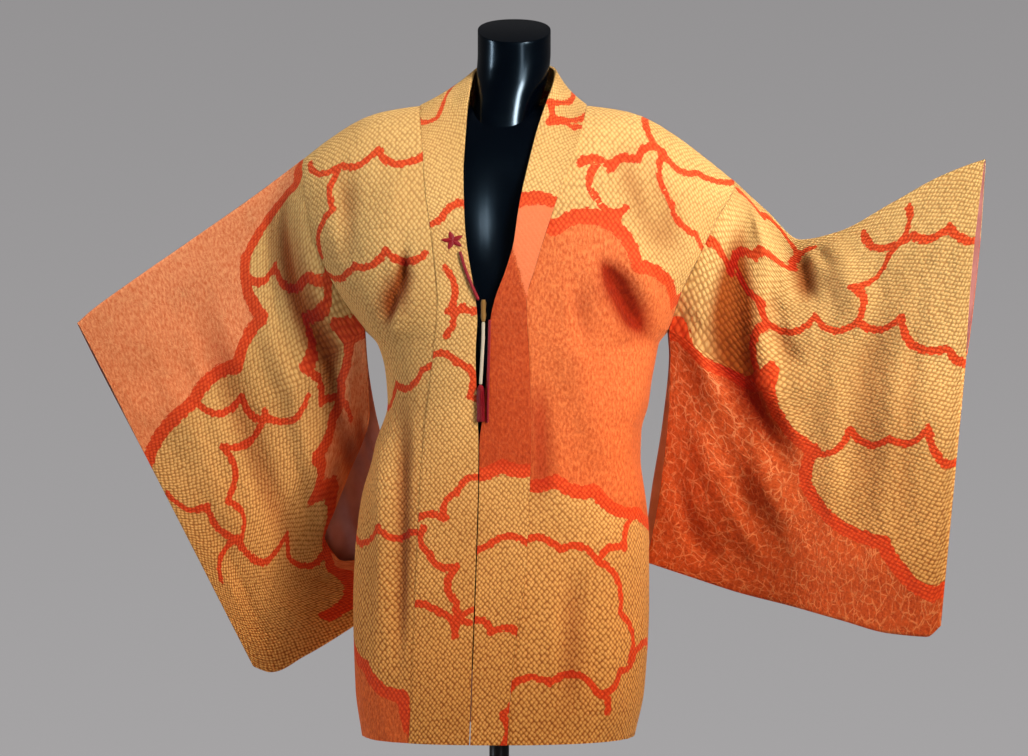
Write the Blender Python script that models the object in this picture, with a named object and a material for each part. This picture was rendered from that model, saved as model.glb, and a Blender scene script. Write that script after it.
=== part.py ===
"""Haori, a hip-length kimono jacket, worn by a limbless dress form on a pole stand.

Metres, +Z up. The jacket's front faces -Y. Left and right are the wearer's, so the right side lies at -X.
The origin is the middle of the stand's underside, on the axis of the pole.
Every cloth piece is a thin wall: a grid of points on its outer face, and a second grid one wall further in.
"""

import math

import bmesh
import bpy
import numpy as np

# Cloth
WALL = 0.002
SEAM = 0.0003
COLLAR_WALL = 0.0035
COLLAR_PROUD = 0.0012
COLLAR_SEAM_SHIFT = 1.3 * SEAM
SLEEVE_SEAM_SHIFT = 1.4 * SEAM
GUSSET_BULGE = 0.002

# Heights of the jacket, and the axis that its sections are drawn about
HEM = 0.602
ARMPIT = 1.115
AXIS = 0.007
ROUND = 2.4

# Dress form and stand
NECK_TILT = 0.40
NECK_SIDE_TOP = 1.4946
POLE_RADIUS = 0.0125
BASE_RADIUS = 0.155
BASE_HEIGHT = 0.012
FORM_FOOT = 0.690
SHOULDER_REST = WALL + 0.0008
CHEST_HOLLOW = 0.010
CHEST_HOLLOW_X = 0.003
CHEST_HOLLOW_WIDTH = 0.030
CHEST_HOLLOW_FOOT = 1.150
CHEST_HOLLOW_TOP = 1.340

# Grid sizes: intervals across and along each sheet
ROWS_BELOW = 14
ROWS_ABOVE = 9
LAST_ROW = ROWS_BELOW + ROWS_ABOVE
ROWS_OPEN = 8
PANEL_COLUMNS = 12
COLLAR_COLUMNS = 4
GUSSET_COLUMNS = 2
SLEEVE_REACHES = 14

RIGHT, LEFT = -1, 1
FRONT, BACK = -1, 1


def table(columns, *rows):
    """Rows of numbers as one array for each named column."""
    return dict(zip(columns.split(), np.array(rows, float).T))


# Half sections of the jacket below the armpit and its side edge up to the shoulder.
# The sides are places on X; front and back are depths from the axis, and opening is the share of
# that depth which the side edge keeps, so that gusset and armhole stand open.
BODY = table(
    "height right_side left_side front back opening",
    (0.602, -0.172, 0.170, 0.140, 0.142, 0.22),
    (0.660, -0.180, 0.182, 0.140, 0.142, 0.21),
    (0.770, -0.183, 0.188, 0.139, 0.141, 0.19),
    (0.840, -0.180, 0.188, 0.138, 0.137, 0.18),
    (0.900, -0.173, 0.186, 0.137, 0.131, 0.17),
    (0.950, -0.160, 0.180, 0.136, 0.126, 0.16),
    (0.985, -0.148, 0.181, 0.136, 0.123, 0.15),
    (1.020, -0.139, 0.190, 0.136, 0.121, 0.14),
    (1.060, -0.142, 0.195, 0.137, 0.120, 0.13),
    (1.095, -0.152, 0.200, 0.137, 0.120, 0.12),
    (1.115, -0.170, 0.214, 0.137, 0.120, 0.12),
    (1.160, -0.202, 0.229, 0.137, 0.120, 0.30),
    (1.200, -0.222, 0.248, 0.137, 0.120, 0.42),
    (1.250, -0.239, 0.272, 0.137, 0.120, 0.46),
    (1.300, -0.247, 0.297, 0.137, 0.120, 0.46),
    (1.400, -0.249, 0.299, 0.137, 0.120, 0.46),
)

# Shoulder fold, as height against the distance from the axis
SHOULDER = table(
    "across height",
    (0.000, 1.4010),
    (0.060, 1.4005),
    (0.105, 1.3970),
    (0.150, 1.3905),
    (0.172, 1.3840),
    (0.190, 1.3755),
    (0.213, 1.3610),
    (0.236, 1.3445),
    (0.255, 1.3300),
    (0.270, 1.3185),
    (0.295, 1.2990),
)

# Front collar seams and the collar's free edges, as places on X
COLLAR_FRONT = table(
    "height right_seam right_edge left_seam left_edge",
    (0.602, -0.1110, -0.0365, 0.0105, -0.0350),
    (0.700, -0.1060, -0.0330, 0.0175, -0.0315),
    (0.780, -0.1030, -0.0300, 0.0290, -0.0285),
    (0.850, -0.1000, -0.0275, 0.0355, -0.0260),
    (0.920, -0.0970, -0.0255, 0.0385, -0.0240),
    (0.970, -0.0930, -0.0250, 0.0400, -0.0235),
    (1.020, -0.0875, -0.0265, 0.0395, -0.0175),
    (1.080, -0.0810, -0.0285, 0.0375, -0.0135),
    (1.125, -0.0760, -0.0265, 0.0350, -0.0100),
    (1.150, -0.0750, -0.0285, 0.0345, -0.0045),
    (1.185, -0.0780, -0.0345, 0.0440, 0.0085),
    (1.220, -0.0820, -0.0400, 0.0545, 0.0185),
    (1.260, -0.0880, -0.0430, 0.0675, 0.0240),
    (1.300, -0.0925, -0.0445, 0.0810, 0.0330),
    (1.340, -0.0950, -0.0425, 0.0970, 0.0440),
    (1.397, -0.1000, -0.0395, 0.1110, 0.0560),
)

# Neckline on the back, as the distance from the back seam against the share of the rise to the shoulder
NECKLINE = table(
    "rise across",
    (0.830, 0.0000),
    (0.880, 0.0420),
    (0.940, 0.0720),
    (0.980, 0.0930),
    (1.000, 0.1050),
)

# Free edge of the collar round the neck. Turn is the way round: 0 at the level of the collar bone in front,
# 1 at the side of the neck and 2 at the middle of the back. The sides are distances from the neck's middle.
NECK_MIDDLE = 0.020
NECK_EDGE = table(
    "turn right_side left_side depth height",
    (0.0, 0.0630, 0.0190, -0.1020, 1.3300),
    (0.3, 0.0615, 0.0270, -0.0860, 1.3600),
    (0.6, 0.0590, 0.0400, -0.0560, 1.4000),
    (0.8, 0.0560, 0.0480, -0.0260, 1.4240),
    (1.0, 0.0515, 0.0515, 0.0050, 1.4420),
    (1.5, 0.0380, 0.0380, 0.0490, 1.4530),
    (2.0, 0.0000, 0.0000, 0.0680, 1.4560),
)
NECK_TURN_FROM = 1.300
TURNED_FROM = 1.235
TURNED_TO = 1.355
COLLAR_SINK = -0.003
COLLAR_ROLL = 0.007
ROLL_RISE = 0.7

# How far the left front's side edge is drawn in at the waist, in front of the gusset
TUCK = table(
    "height drawn_in",
    (0.602, 0.000),
    (0.860, 0.000),
    (0.920, 0.010),
    (0.970, 0.016),
    (1.030, 0.011),
    (1.095, 0.000),
    (1.400, 0.000),
)

# Main folds of the fronts and of the back: from one end to the other, out (+) or in (-), and half width
FRONT_FOLDS = table(
    "x_from z_from x_to z_to out width",
    (-0.118, 1.200, -0.140, 1.120, -0.0110, 0.013),
    (-0.122, 1.080, -0.118, 0.640, -0.0080, 0.011),
    (-0.150, 1.050, -0.147, 0.660, 0.0055, 0.012),
    (-0.100, 1.320, -0.175, 1.180, 0.0045, 0.020),
    (-0.195, 1.320, -0.190, 1.180, -0.0060, 0.018),
    (0.130, 1.195, 0.186, 1.100, -0.0110, 0.015),
    (0.096, 1.165, 0.101, 1.080, -0.0050, 0.013),
    (0.050, 1.070, 0.054, 0.880, -0.0075, 0.012),
    (0.070, 1.120, 0.150, 0.900, 0.0060, 0.018),
    (0.100, 0.840, 0.085, 0.610, -0.0055, 0.016),
    (0.140, 0.820, 0.135, 0.610, 0.0050, 0.016),
    (0.150, 1.350, 0.225, 1.190, -0.0070, 0.020),
)
BACK_FOLDS = table(
    "x_from z_from x_to z_to out width",
    (-0.120, 1.230, -0.095, 0.620, 0.0060, 0.020),
    (-0.075, 1.120, -0.050, 0.620, -0.0050, 0.018),
    (0.060, 1.140, 0.045, 0.620, -0.0055, 0.018),
    (0.115, 1.250, 0.095, 0.620, 0.0065, 0.021),
    (0.150, 1.130, 0.145, 0.640, -0.0045, 0.016),
    (-0.160, 1.110, -0.150, 0.660, -0.0040, 0.014),
    (-0.110, 1.330, -0.200, 1.180, -0.0050, 0.020),
    (0.120, 1.340, 0.220, 1.190, -0.0055, 0.020),
)

# Each sleeve hangs between its top fold and its foot. Reach goes from the armhole to the cuff.
RIGHT_SLEEVE = table(
    "reach top_x top_y top_z foot_x foot_y foot_z",
    (0.00, -0.249, 0.000, 1.330, -0.062, 0.168, 0.820),
    (0.25, -0.318, 0.004, 1.279, -0.130, 0.158, 0.772),
    (0.50, -0.392, 0.002, 1.227, -0.196, 0.148, 0.724),
    (0.75, -0.464, -0.008, 1.176, -0.256, 0.138, 0.688),
    (0.93, -0.516, -0.018, 1.137, -0.299, 0.132, 0.668),
    (1.00, -0.532, -0.022, 1.122, -0.322, 0.130, 0.676),
)
LEFT_SLEEVE = table(
    "reach top_x top_y top_z foot_x foot_y foot_z",
    (0.00, 0.297, 0.000, 1.299, 0.186, 0.090, 0.815),
    (0.14, 0.336, -0.032, 1.261, 0.243, 0.046, 0.798),
    (0.27, 0.376, -0.062, 1.224, 0.306, -0.008, 0.780),
    (0.42, 0.420, -0.096, 1.233, 0.362, -0.058, 0.768),
    (0.64, 0.482, -0.140, 1.267, 0.423, -0.110, 0.753),
    (0.82, 0.535, -0.172, 1.297, 0.478, -0.152, 0.740),
    (0.95, 0.575, -0.194, 1.313, 0.520, -0.180, 0.738),
    (1.00, 0.588, -0.200, 1.317, 0.536, -0.188, 0.752),
)

# Body side of each sleeve below the armpit, where it hangs open, from the armpit down.
# Parted is how far the front layer is pulled off that edge, as a share of the sleeve's reach.
RIGHT_OPENING = table(
    "drop x y z parted",
    (0.00, -0.170, 0.000, 1.115, 0.00),
    (0.12, -0.168, 0.020, 1.075, 0.00),
    (0.32, -0.160, 0.062, 1.012, 0.02),
    (0.60, -0.136, 0.108, 0.926, 0.23),
    (0.74, -0.115, 0.130, 0.890, 0.31),
    (0.86, -0.092, 0.149, 0.857, 0.22),
    (0.95, -0.072, 0.162, 0.833, 0.05),
    (1.00, -0.062, 0.168, 0.820, 0.00),
)
LEFT_OPENING = table(
    "drop x y z parted",
    (0.00, 0.214, 0.000, 1.115, 0.00),
    (0.12, 0.217, 0.016, 1.080, 0.00),
    (0.35, 0.211, 0.040, 1.005, 0.01),
    (0.70, 0.196, 0.072, 0.900, 0.02),
    (1.00, 0.186, 0.090, 0.815, 0.01),
)

# Half distance between a sleeve's two layers
SLEEVE_EDGE = 0.0034
SLEEVE_FILL = 0.0085
WRIST_OPENING = 0.0120
WRIST_SHARE = 0.42
SLEEVE_MOUTH = 0.015
MOUTH_FROM = 0.40
MOUTH_TO = 0.60
ARMHOLE_FADE = 0.30
SEAM_FADE = 0.12
FOLD_FADE = 0.05
CUFF_FROM = 0.72
CUFF_TO = 0.98
SLEEVE_PROBE = 0.01
FOLD_TURN = 0.0035
SLEEVE_WIDTH = 0.35
SLEEVE_LENGTH = 0.53
ARMPIT_SHARE = 0.42

# Main folds of the sleeves, in shares of reach and drop, with the half width in metres
RIGHT_SLEEVE_FOLDS = table(
    "reach_from drop_from reach_to drop_to out width",
    (0.10, 0.06, 0.22, 0.80, -0.0120, 0.022),
    (0.30, 0.08, 0.42, 0.90, 0.0080, 0.024),
    (0.55, 0.10, 0.60, 0.86, -0.0060, 0.022),
    (0.78, 0.12, 0.80, 0.80, 0.0050, 0.022),
    (0.02, 0.42, 0.20, 0.62, 0.0090, 0.020),
)
LEFT_SLEEVE_FOLDS = table(
    "reach_from drop_from reach_to drop_to out width",
    (0.04, 0.10, 0.30, 0.78, -0.0140, 0.022),
    (0.02, 0.36, 0.46, 0.84, 0.0110, 0.022),
    (0.10, 0.06, 0.24, 0.26, 0.0080, 0.016),
    (0.27, 0.06, 0.34, 0.22, -0.0100, 0.015),
    (0.38, 0.02, 0.62, 0.30, 0.0070, 0.022),
    (0.62, 0.08, 0.70, 0.84, -0.0050, 0.026),
)

# Lining of the right sleeve, where its opening shows it: the sleeve's own steps that it spans
LINING_WALL = 0.001
LINING_FROM = 1
LINING_TO = 7
LINING_TOP = 11
LINING_FOOT = 19

# Dress form
FORM = table(
    "height half_width front back",
    (0.690, 0.146, 0.088, 0.104),
    (0.700, 0.157, 0.097, 0.116),
    (0.760, 0.166, 0.103, 0.127),
    (0.840, 0.158, 0.103, 0.120),
    (0.920, 0.137, 0.097, 0.104),
    (0.985, 0.123, 0.093, 0.091),
    (1.050, 0.126, 0.106, 0.093),
    (1.115, 0.142, 0.124, 0.104),
    (1.200, 0.154, 0.124, 0.104),
    (1.280, 0.168, 0.124, 0.104),
    (1.330, 0.169, 0.124, 0.104),
    (1.362, 0.160, 0.124, 0.104),
    (1.400, 0.138, 0.124, 0.104),
)
FORM_COLUMNS = 20
FORM_ROWS_BELOW = 12

# Neck block: rings from its foot to its top
NECK = table(
    "height middle half_width front back squareness",
    (1.340, 0.001, 0.0470, 0.0730, 0.0430, 3.0),
    (1.370, 0.002, 0.0440, 0.0690, 0.0420, 2.9),
    (1.400, 0.008, 0.0430, 0.0620, 0.0420, 2.6),
    (1.435, 0.016, 0.0455, 0.0560, 0.0430, 2.3),
    (1.470, 0.019, 0.0463, 0.0540, 0.0450, 2.2),
    (1.500, 0.019, 0.0463, 0.0550, 0.0450, 2.2),
)
NECK_SIDES = 32

# Stand's foot: hub above the disc
HUB_TOP = 0.036
HUB_RADIUS = 0.022

# Tie of the jacket: a strand from under the leaf to a bound knot, and two tails that hang from it.
# The routes are places on X and Z in front of the collar.
TIE_RADIUS = 0.0022
TAIL_RADIUS = 0.0018
TIE_CLEAR = TIE_RADIUS + 0.0006
TAIL_CLEAR = TIE_RADIUS + 0.0001
STRAND_ROUTE = table(
    "x z", (-0.0475, 1.208), (-0.0430, 1.192), (-0.0355, 1.172), (-0.0285, 1.156), (-0.0245, 1.148)
)
KNOT_X = -0.0188
KNOT_FOOT = 1.1215
KNOT_TOP = 1.1490
CREAM_ROUTE = table("x z", (-0.0188, 1.1212), (-0.0192, 1.100), (-0.0205, 1.075), (-0.0222, 1.0445))
CRIMSON_ROUTE = table(
    "x z", (-0.0110, 1.124), (-0.0116, 1.100), (-0.0124, 1.070), (-0.0132, 1.030), (-0.0138, 0.9975)
)
TASSEL_LENGTH = 0.046
STRAND_RADIUS = 0.0005
STRAND_RINGS = table("radius count", (0.0, 1), (0.0016, 7), (0.0032, 13))
LEAF_POINTS = 5
LEAF_MIDDLE = (-0.0565, 1.2215)
LEAF_TIP = 0.0150
LEAF_NOTCH = 0.0062
LEAF_TURN = 0.25
LEAF_FLATNESS = 0.80
LEAF_NEAR = 0.0004
LEAF_FAR = 0.0018


def smooth(rows, column, key, at):
    """A smooth curve through a table's rows, which never runs past them."""
    xs, ys = rows[key], rows[column]
    steps = np.diff(xs)
    slopes = np.diff(ys) / steps
    lean = np.zeros(len(xs))
    lean[0], lean[-1] = slopes[0], slopes[-1]
    for i in range(1, len(xs) - 1):
        if slopes[i - 1] * slopes[i] > 0:
            lean[i] = 2 * slopes[i - 1] * slopes[i] / (slopes[i - 1] + slopes[i])
    at = min(max(float(at), xs[0]), xs[-1])
    i = min(int(np.searchsorted(xs, at, side="right")) - 1, len(steps) - 1)
    t = (at - xs[i]) / steps[i]
    rise = ys[i + 1] - ys[i]
    bend = steps[i] * (lean[i] * (1 - t) ** 2 * t - lean[i + 1] * t * t * (1 - t))
    return ys[i] + rise * (3 * t * t - 2 * t**3) + bend


def ease(value, start, end):
    """0 before start, 1 after end, and a soft step between."""
    t = min(max((value - start) / (end - start), 0.0), 1.0)
    return t * t * (3 - 2 * t)


def fold_height(x, z, folds, scale_x=1.0, scale_z=1.0):
    """How far the folds move a point out, each fading across its width and towards its ends."""
    total = 0.0
    for i in range(len(folds["out"])):
        start_x, start_z, end_x, end_z = (folds[name][i] for name in list(folds)[:4])
        run_x = (end_x - start_x) * scale_x
        run_z = (end_z - start_z) * scale_z
        off_x = (x - start_x) * scale_x
        off_z = (z - start_z) * scale_z
        length = math.hypot(run_x, run_z)
        along = (off_x * run_x + off_z * run_z) / length
        aside = (off_x * run_z - off_z * run_x) / length
        beyond = max(-along, along - length, 0.0)
        width = folds["width"][i]
        taper = ease(along, -width, 0.35 * length) * (1 - ease(along, 0.65 * length, length + width))
        total += folds["out"][i] * math.exp(-((aside / width) ** 2)) * max(taper, 0.0) * (beyond < 2 * width)
    return total


def shoulder_height(x):
    return smooth(SHOULDER, "height", "across", abs(x - AXIS))


def side_edge(side, height):
    return smooth(BODY, "left_side" if side == LEFT else "right_side", "height", height)


def level_at(row):
    """A row's height where it lies below the armpit, or its angle of rise to the shoulder above it."""
    if row <= ROWS_BELOW:
        return HEM + (ARMPIT - HEM) * row / ROWS_BELOW, 0.0
    return ARMPIT, (row - ROWS_BELOW) / ROWS_ABOVE * math.pi / 2


def row_height(row, x):
    height, angle = level_at(row)
    return height + (shoulder_height(x) - ARMPIT) * math.sin(angle) ** (2 / ROUND)


def section_depth(rows, row, height, share, face, opening):
    """Depth of the section from the axis, where share goes from 0 at the axis to 1 at the side."""
    angle = level_at(row)[1]
    full = smooth(rows, "front" if face == FRONT else "back", "height", height)
    kept = opening**ROUND
    across = ((1 - min(abs(share), 1.0) ** ROUND) * (1 - kept) + kept) ** (1 / ROUND)
    return face * full * math.cos(angle) ** (2 / ROUND) * across


def body_point(side, face, row, inner_x, across):
    """A point of the jacket's body on one row, from the panel's inner edge (across 0) to its side (1)."""
    height = row_height(row, inner_x(row, ARMPIT))
    for _ in range(12):
        half = side_edge(side, height) - AXIS
        outer = half
        if side == LEFT and face == FRONT:
            outer = half - smooth(TUCK, "drawn_in", "height", height)
        inner_share = min(max((inner_x(row, height) - AXIS) / half, 0.0), 1.0)
        inner_angle = math.asin(inner_share ** (ROUND / 2))
        outer_angle = math.asin(min(outer / half, 1.0) ** (ROUND / 2))
        share = math.sin(inner_angle + (outer_angle - inner_angle) * across) ** (2 / ROUND)
        x = AXIS + share * half
        height = row_height(row, x)
    opening = smooth(BODY, "opening", "height", height)
    y = section_depth(BODY, row, height, share, face, opening)
    return np.array((x, y, height))


def front_inner(side):
    column = "left_seam" if side == LEFT else "right_seam"
    return lambda row, height: smooth(COLLAR_FRONT, column, "height", height)


def back_inner(side):
    def inner_x(row, height):
        angle = level_at(row)[1]
        rise = math.sin(angle) ** (2 / ROUND)
        across = smooth(NECKLINE, "across", "rise", rise) if rise > NECKLINE["rise"][0] else 0.0
        return AXIS + side * (across + SEAM / 2)

    return inner_x


def panel_rows(side):
    """The panel's outer points, row by row from the front hem over the shoulder to the back hem."""
    rows = [(FRONT, row) for row in range(LAST_ROW + 1)]
    rows += [(BACK, row) for row in range(LAST_ROW - 1, -1, -1)]
    columns = [column / PANEL_COLUMNS for column in range(PANEL_COLUMNS + 1)]
    grid = []
    for face, row in rows:
        inner_x = front_inner(side) if face == FRONT else back_inner(side)
        if row == LAST_ROW:
            inner_x = front_inner(side)
        grid.append([body_point(side, face, row, inner_x, across) for across in columns])
    return np.array(grid), rows


def normals_of(grid, closed=False):
    """Unit normals of a grid of points; a closed grid joins its last column to its first."""
    down = np.gradient(grid, axis=0)
    if closed:
        over = (np.roll(grid, -1, axis=1) - np.roll(grid, 1, axis=1)) / 2
    else:
        over = np.gradient(grid, axis=1)
    normal = np.cross(over, down)
    return normal / np.linalg.norm(normal, axis=2, keepdims=True)


def folded(grid, normals, rows):
    """The body grid with its folds pressed in."""
    out = grid.copy()
    for i, (face, row) in enumerate(rows):
        folds = FRONT_FOLDS if face == FRONT else BACK_FOLDS
        fade = 1 - ease(row, LAST_ROW - 3, LAST_ROW)
        for j in range(grid.shape[1]):
            edge = ease(j, 0, 2)
            height = fold_height(grid[i, j, 0], grid[i, j, 2], folds) * fade * edge
            out[i, j] += normals[i, j] * height
    return out


def new_object(name, points, faces, material, smooth_shade=True):
    mesh = bpy.data.meshes.new(name)
    mesh.from_pydata([tuple(map(float, point)) for point in points], [], faces)
    mesh.materials.append(material)
    shape = bmesh.new()
    shape.from_mesh(mesh)
    bmesh.ops.triangulate(shape, faces=shape.faces)
    bmesh.ops.recalc_face_normals(shape, faces=shape.faces)
    shape.to_mesh(mesh)
    shape.free()
    if smooth_shade:
        mesh.shade_smooth()
        mesh.set_sharp_from_angle(angle=math.radians(40))
    obj = bpy.data.objects.new(name, mesh)
    bpy.context.collection.objects.link(obj)
    return obj


def wall_between(name, outer, inner, material):
    """A closed wall between two grids of the same size."""
    rows, columns = outer.shape[:2]
    points = list(outer.reshape(-1, 3)) + list(inner.reshape(-1, 3))
    behind = rows * columns

    def corner(i, j, side):
        return i * columns + j + side * behind

    faces = []
    for i in range(rows - 1):
        for j in range(columns - 1):
            quad = [(i, j), (i, j + 1), (i + 1, j + 1), (i + 1, j)]
            faces.append([corner(a, b, 0) for a, b in quad])
            faces.append([corner(a, b, 1) for a, b in reversed(quad)])
    rim = [(0, j) for j in range(columns)] + [(i, columns - 1) for i in range(1, rows)]
    rim += [(rows - 1, j) for j in range(columns - 2, -1, -1)] + [(i, 0) for i in range(rows - 2, 0, -1)]
    for here, there in zip(rim, rim[1:] + rim[:1]):
        faces.append([corner(*there, 0), corner(*here, 0), corner(*here, 1), corner(*there, 1)])
    return new_object(name, points, faces, material)


def body_grids(side):
    """Outer and inner grids of one body panel, from front hem to back hem, its back seam cut square."""
    grid, rows = panel_rows(side)
    outer = folded(grid, outward_normals(grid), rows)
    normals = outward_normals(outer)
    normals[LAST_ROW + 1 :, 0, 0] = 0.0
    normals /= np.linalg.norm(normals, axis=2, keepdims=True)
    return outer, outer - normals * WALL


def make_body_panels(material):
    grids = {}
    for side, name in ((RIGHT, "body_panel_right"), (LEFT, "body_panel_left")):
        outer, inner = body_grids(side)
        wall_between(name, outer, inner, material)
        grids[side] = (outer, inner)
    return grids


def make_gussets(grids, material):
    """The narrow strip under each arm, between the side edges of front and back."""
    for side, name in ((RIGHT, "gusset_right"), (LEFT, "gusset_left")):
        outer, inner = grids[side]
        faces = []
        for grid in (outer, inner):
            rows = []
            for row in range(ROWS_BELOW + 1):
                front, back = grid[row, -1], grid[-1 - row, -1]
                run = (back - front) / np.linalg.norm(back - front)
                ends = front + run * SEAM, back - run * SEAM
                steps = [step / GUSSET_COLUMNS for step in range(GUSSET_COLUMNS + 1)]
                row_points = []
                for step in steps:
                    out = np.array((side * math.sin(step * math.pi) * GUSSET_BULGE, 0, 0))
                    row_points.append(ends[0] * (1 - step) + ends[1] * step + out)
                rows.append(row_points)
            faces.append(np.array(rows))
        wall_between(name, faces[0], faces[1], material)


def collar_edge(side, turn):
    """The collar's free edge round the neck."""
    across = smooth(NECK_EDGE, "left_side" if side == LEFT else "right_side", "turn", turn) * side
    return np.array(
        (
            NECK_MIDDLE + across,
            smooth(NECK_EDGE, "depth", "turn", turn),
            smooth(NECK_EDGE, "height", "turn", turn),
        )
    )


def outward_normals(grid):
    """Normals of a grid of points that point away from the body; the grid starts at the front hem."""
    normals = normals_of(grid)
    return normals * (-1 if normals[2, 2, 1] > 0 else 1)


def collar_half(side, panel):
    """Outer points of the collar from the hem to the back seam, from its seam to its free edge.

    It also returns the panel's normals along the seam, which the collar's own edge follows.
    """
    panel_normals = outward_normals(panel)
    edge_normals = []
    column = "left_edge" if side == LEFT else "right_edge"
    rows = []
    back_rows = [i for i in range(LAST_ROW + 1, len(panel)) if abs(panel[i, 0, 0] - AXIS) > SEAM]
    stations = list(range(LAST_ROW + 1)) + back_rows + [back_rows[-1] + 1]
    seam_top = panel[LAST_ROW, 0, 2]
    for index in stations:
        seam = panel[index, 0].copy()
        if index <= LAST_ROW:
            lift = ease(seam[2], TURNED_FROM, TURNED_TO)
            turn = ease(seam[2], NECK_TURN_FROM, seam_top)
        else:
            lift = 1.0
            turn = 1 + (index - LAST_ROW) / (stations[-1] - LAST_ROW)
        edge_x = smooth(COLLAR_FRONT, column, "height", seam[2])
        row = []
        for step in range(COLLAR_COLUMNS + 1):
            share = step / COLLAR_COLUMNS
            on_body_x = seam[0] + (edge_x - seam[0]) * share
            on_body = np.array((on_body_x, surface_y(on_body_x, seam[2]), seam[2]))
            standing = seam * (1 - share) + collar_edge(side, turn) * share
            outwards = seam - np.array((NECK_MIDDLE, 0.0, seam[2]))
            outwards /= np.linalg.norm(outwards)
            roll = COLLAR_SINK + (COLLAR_ROLL - COLLAR_SINK) * ease(turn, 1, 2)
            standing += (outwards + np.array((0, 0, ROLL_RISE))) * roll * math.sin(share * math.pi) * lift
            row.append(on_body * (1 - lift) + standing * lift)
        away = row[1] - row[0]
        away -= panel_normals[index, 0] * np.dot(away, panel_normals[index, 0])
        row[0] = row[0] + away / np.linalg.norm(away) * COLLAR_SEAM_SHIFT
        rows.append(row)
        edge_normals.append(panel_normals[index, 0])
    return np.array(rows), np.array(edge_normals)


def surface_y(x, height):
    """The front face of the body at a place on X and a height, before its folds."""
    side = LEFT if x > AXIS else RIGHT
    half = side_edge(side, height) - AXIS
    share = min(abs((x - AXIS) / half), 1.0)
    full = smooth(BODY, "front", "height", height)
    rise = min(max((height - ARMPIT) / (shoulder_height(x) - ARMPIT), 0.0), 1.0)
    opening = smooth(BODY, "opening", "height", height)
    kept = opening**ROUND
    across = ((1 - share**ROUND) * (1 - kept) + kept) ** (1 / ROUND)
    return -full * (1 - rise**ROUND) ** (1 / ROUND) * across


def make_collar(grids, material):
    right, right_normals = collar_half(RIGHT, grids[RIGHT][0])
    left, left_normals = collar_half(LEFT, grids[LEFT][0])
    grid = np.concatenate([right, left[::-1][1:]])
    normals = outward_normals(grid)
    normals[:, 0] = np.concatenate([right_normals, left_normals[::-1][1:]])
    outer = grid + normals * COLLAR_PROUD
    return wall_between("collar", outer, outer - normals * COLLAR_WALL, material)


def armhole_at(side, grids, drop):
    """Middle and half distance of the armhole's edges in front and behind, from shoulder (0) to armpit (1)."""
    outer = grids[side][0]
    place = LAST_ROW - drop * ROWS_ABOVE
    low = min(int(place), LAST_ROW - 1)
    part = place - low
    front = outer[low, -1] * (1 - part) + outer[low + 1, -1] * part
    back = outer[-1 - low, -1] * (1 - part) + outer[-2 - low, -1] * part
    return (front + back) / 2, np.linalg.norm(back - front) / 2


def opening_at(opening, half_at_armpit, drop):
    """Middle and half distance of a sleeve's open body side below the armpit."""
    middle = np.array([smooth(opening, column, "drop", drop) for column in "xyz"])
    half = half_at_armpit + (SLEEVE_MOUTH - half_at_armpit) * ease(drop, 0, MOUTH_FROM)
    return middle, half + (SLEEVE_EDGE - half) * ease(drop, MOUTH_TO, 1)


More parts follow.
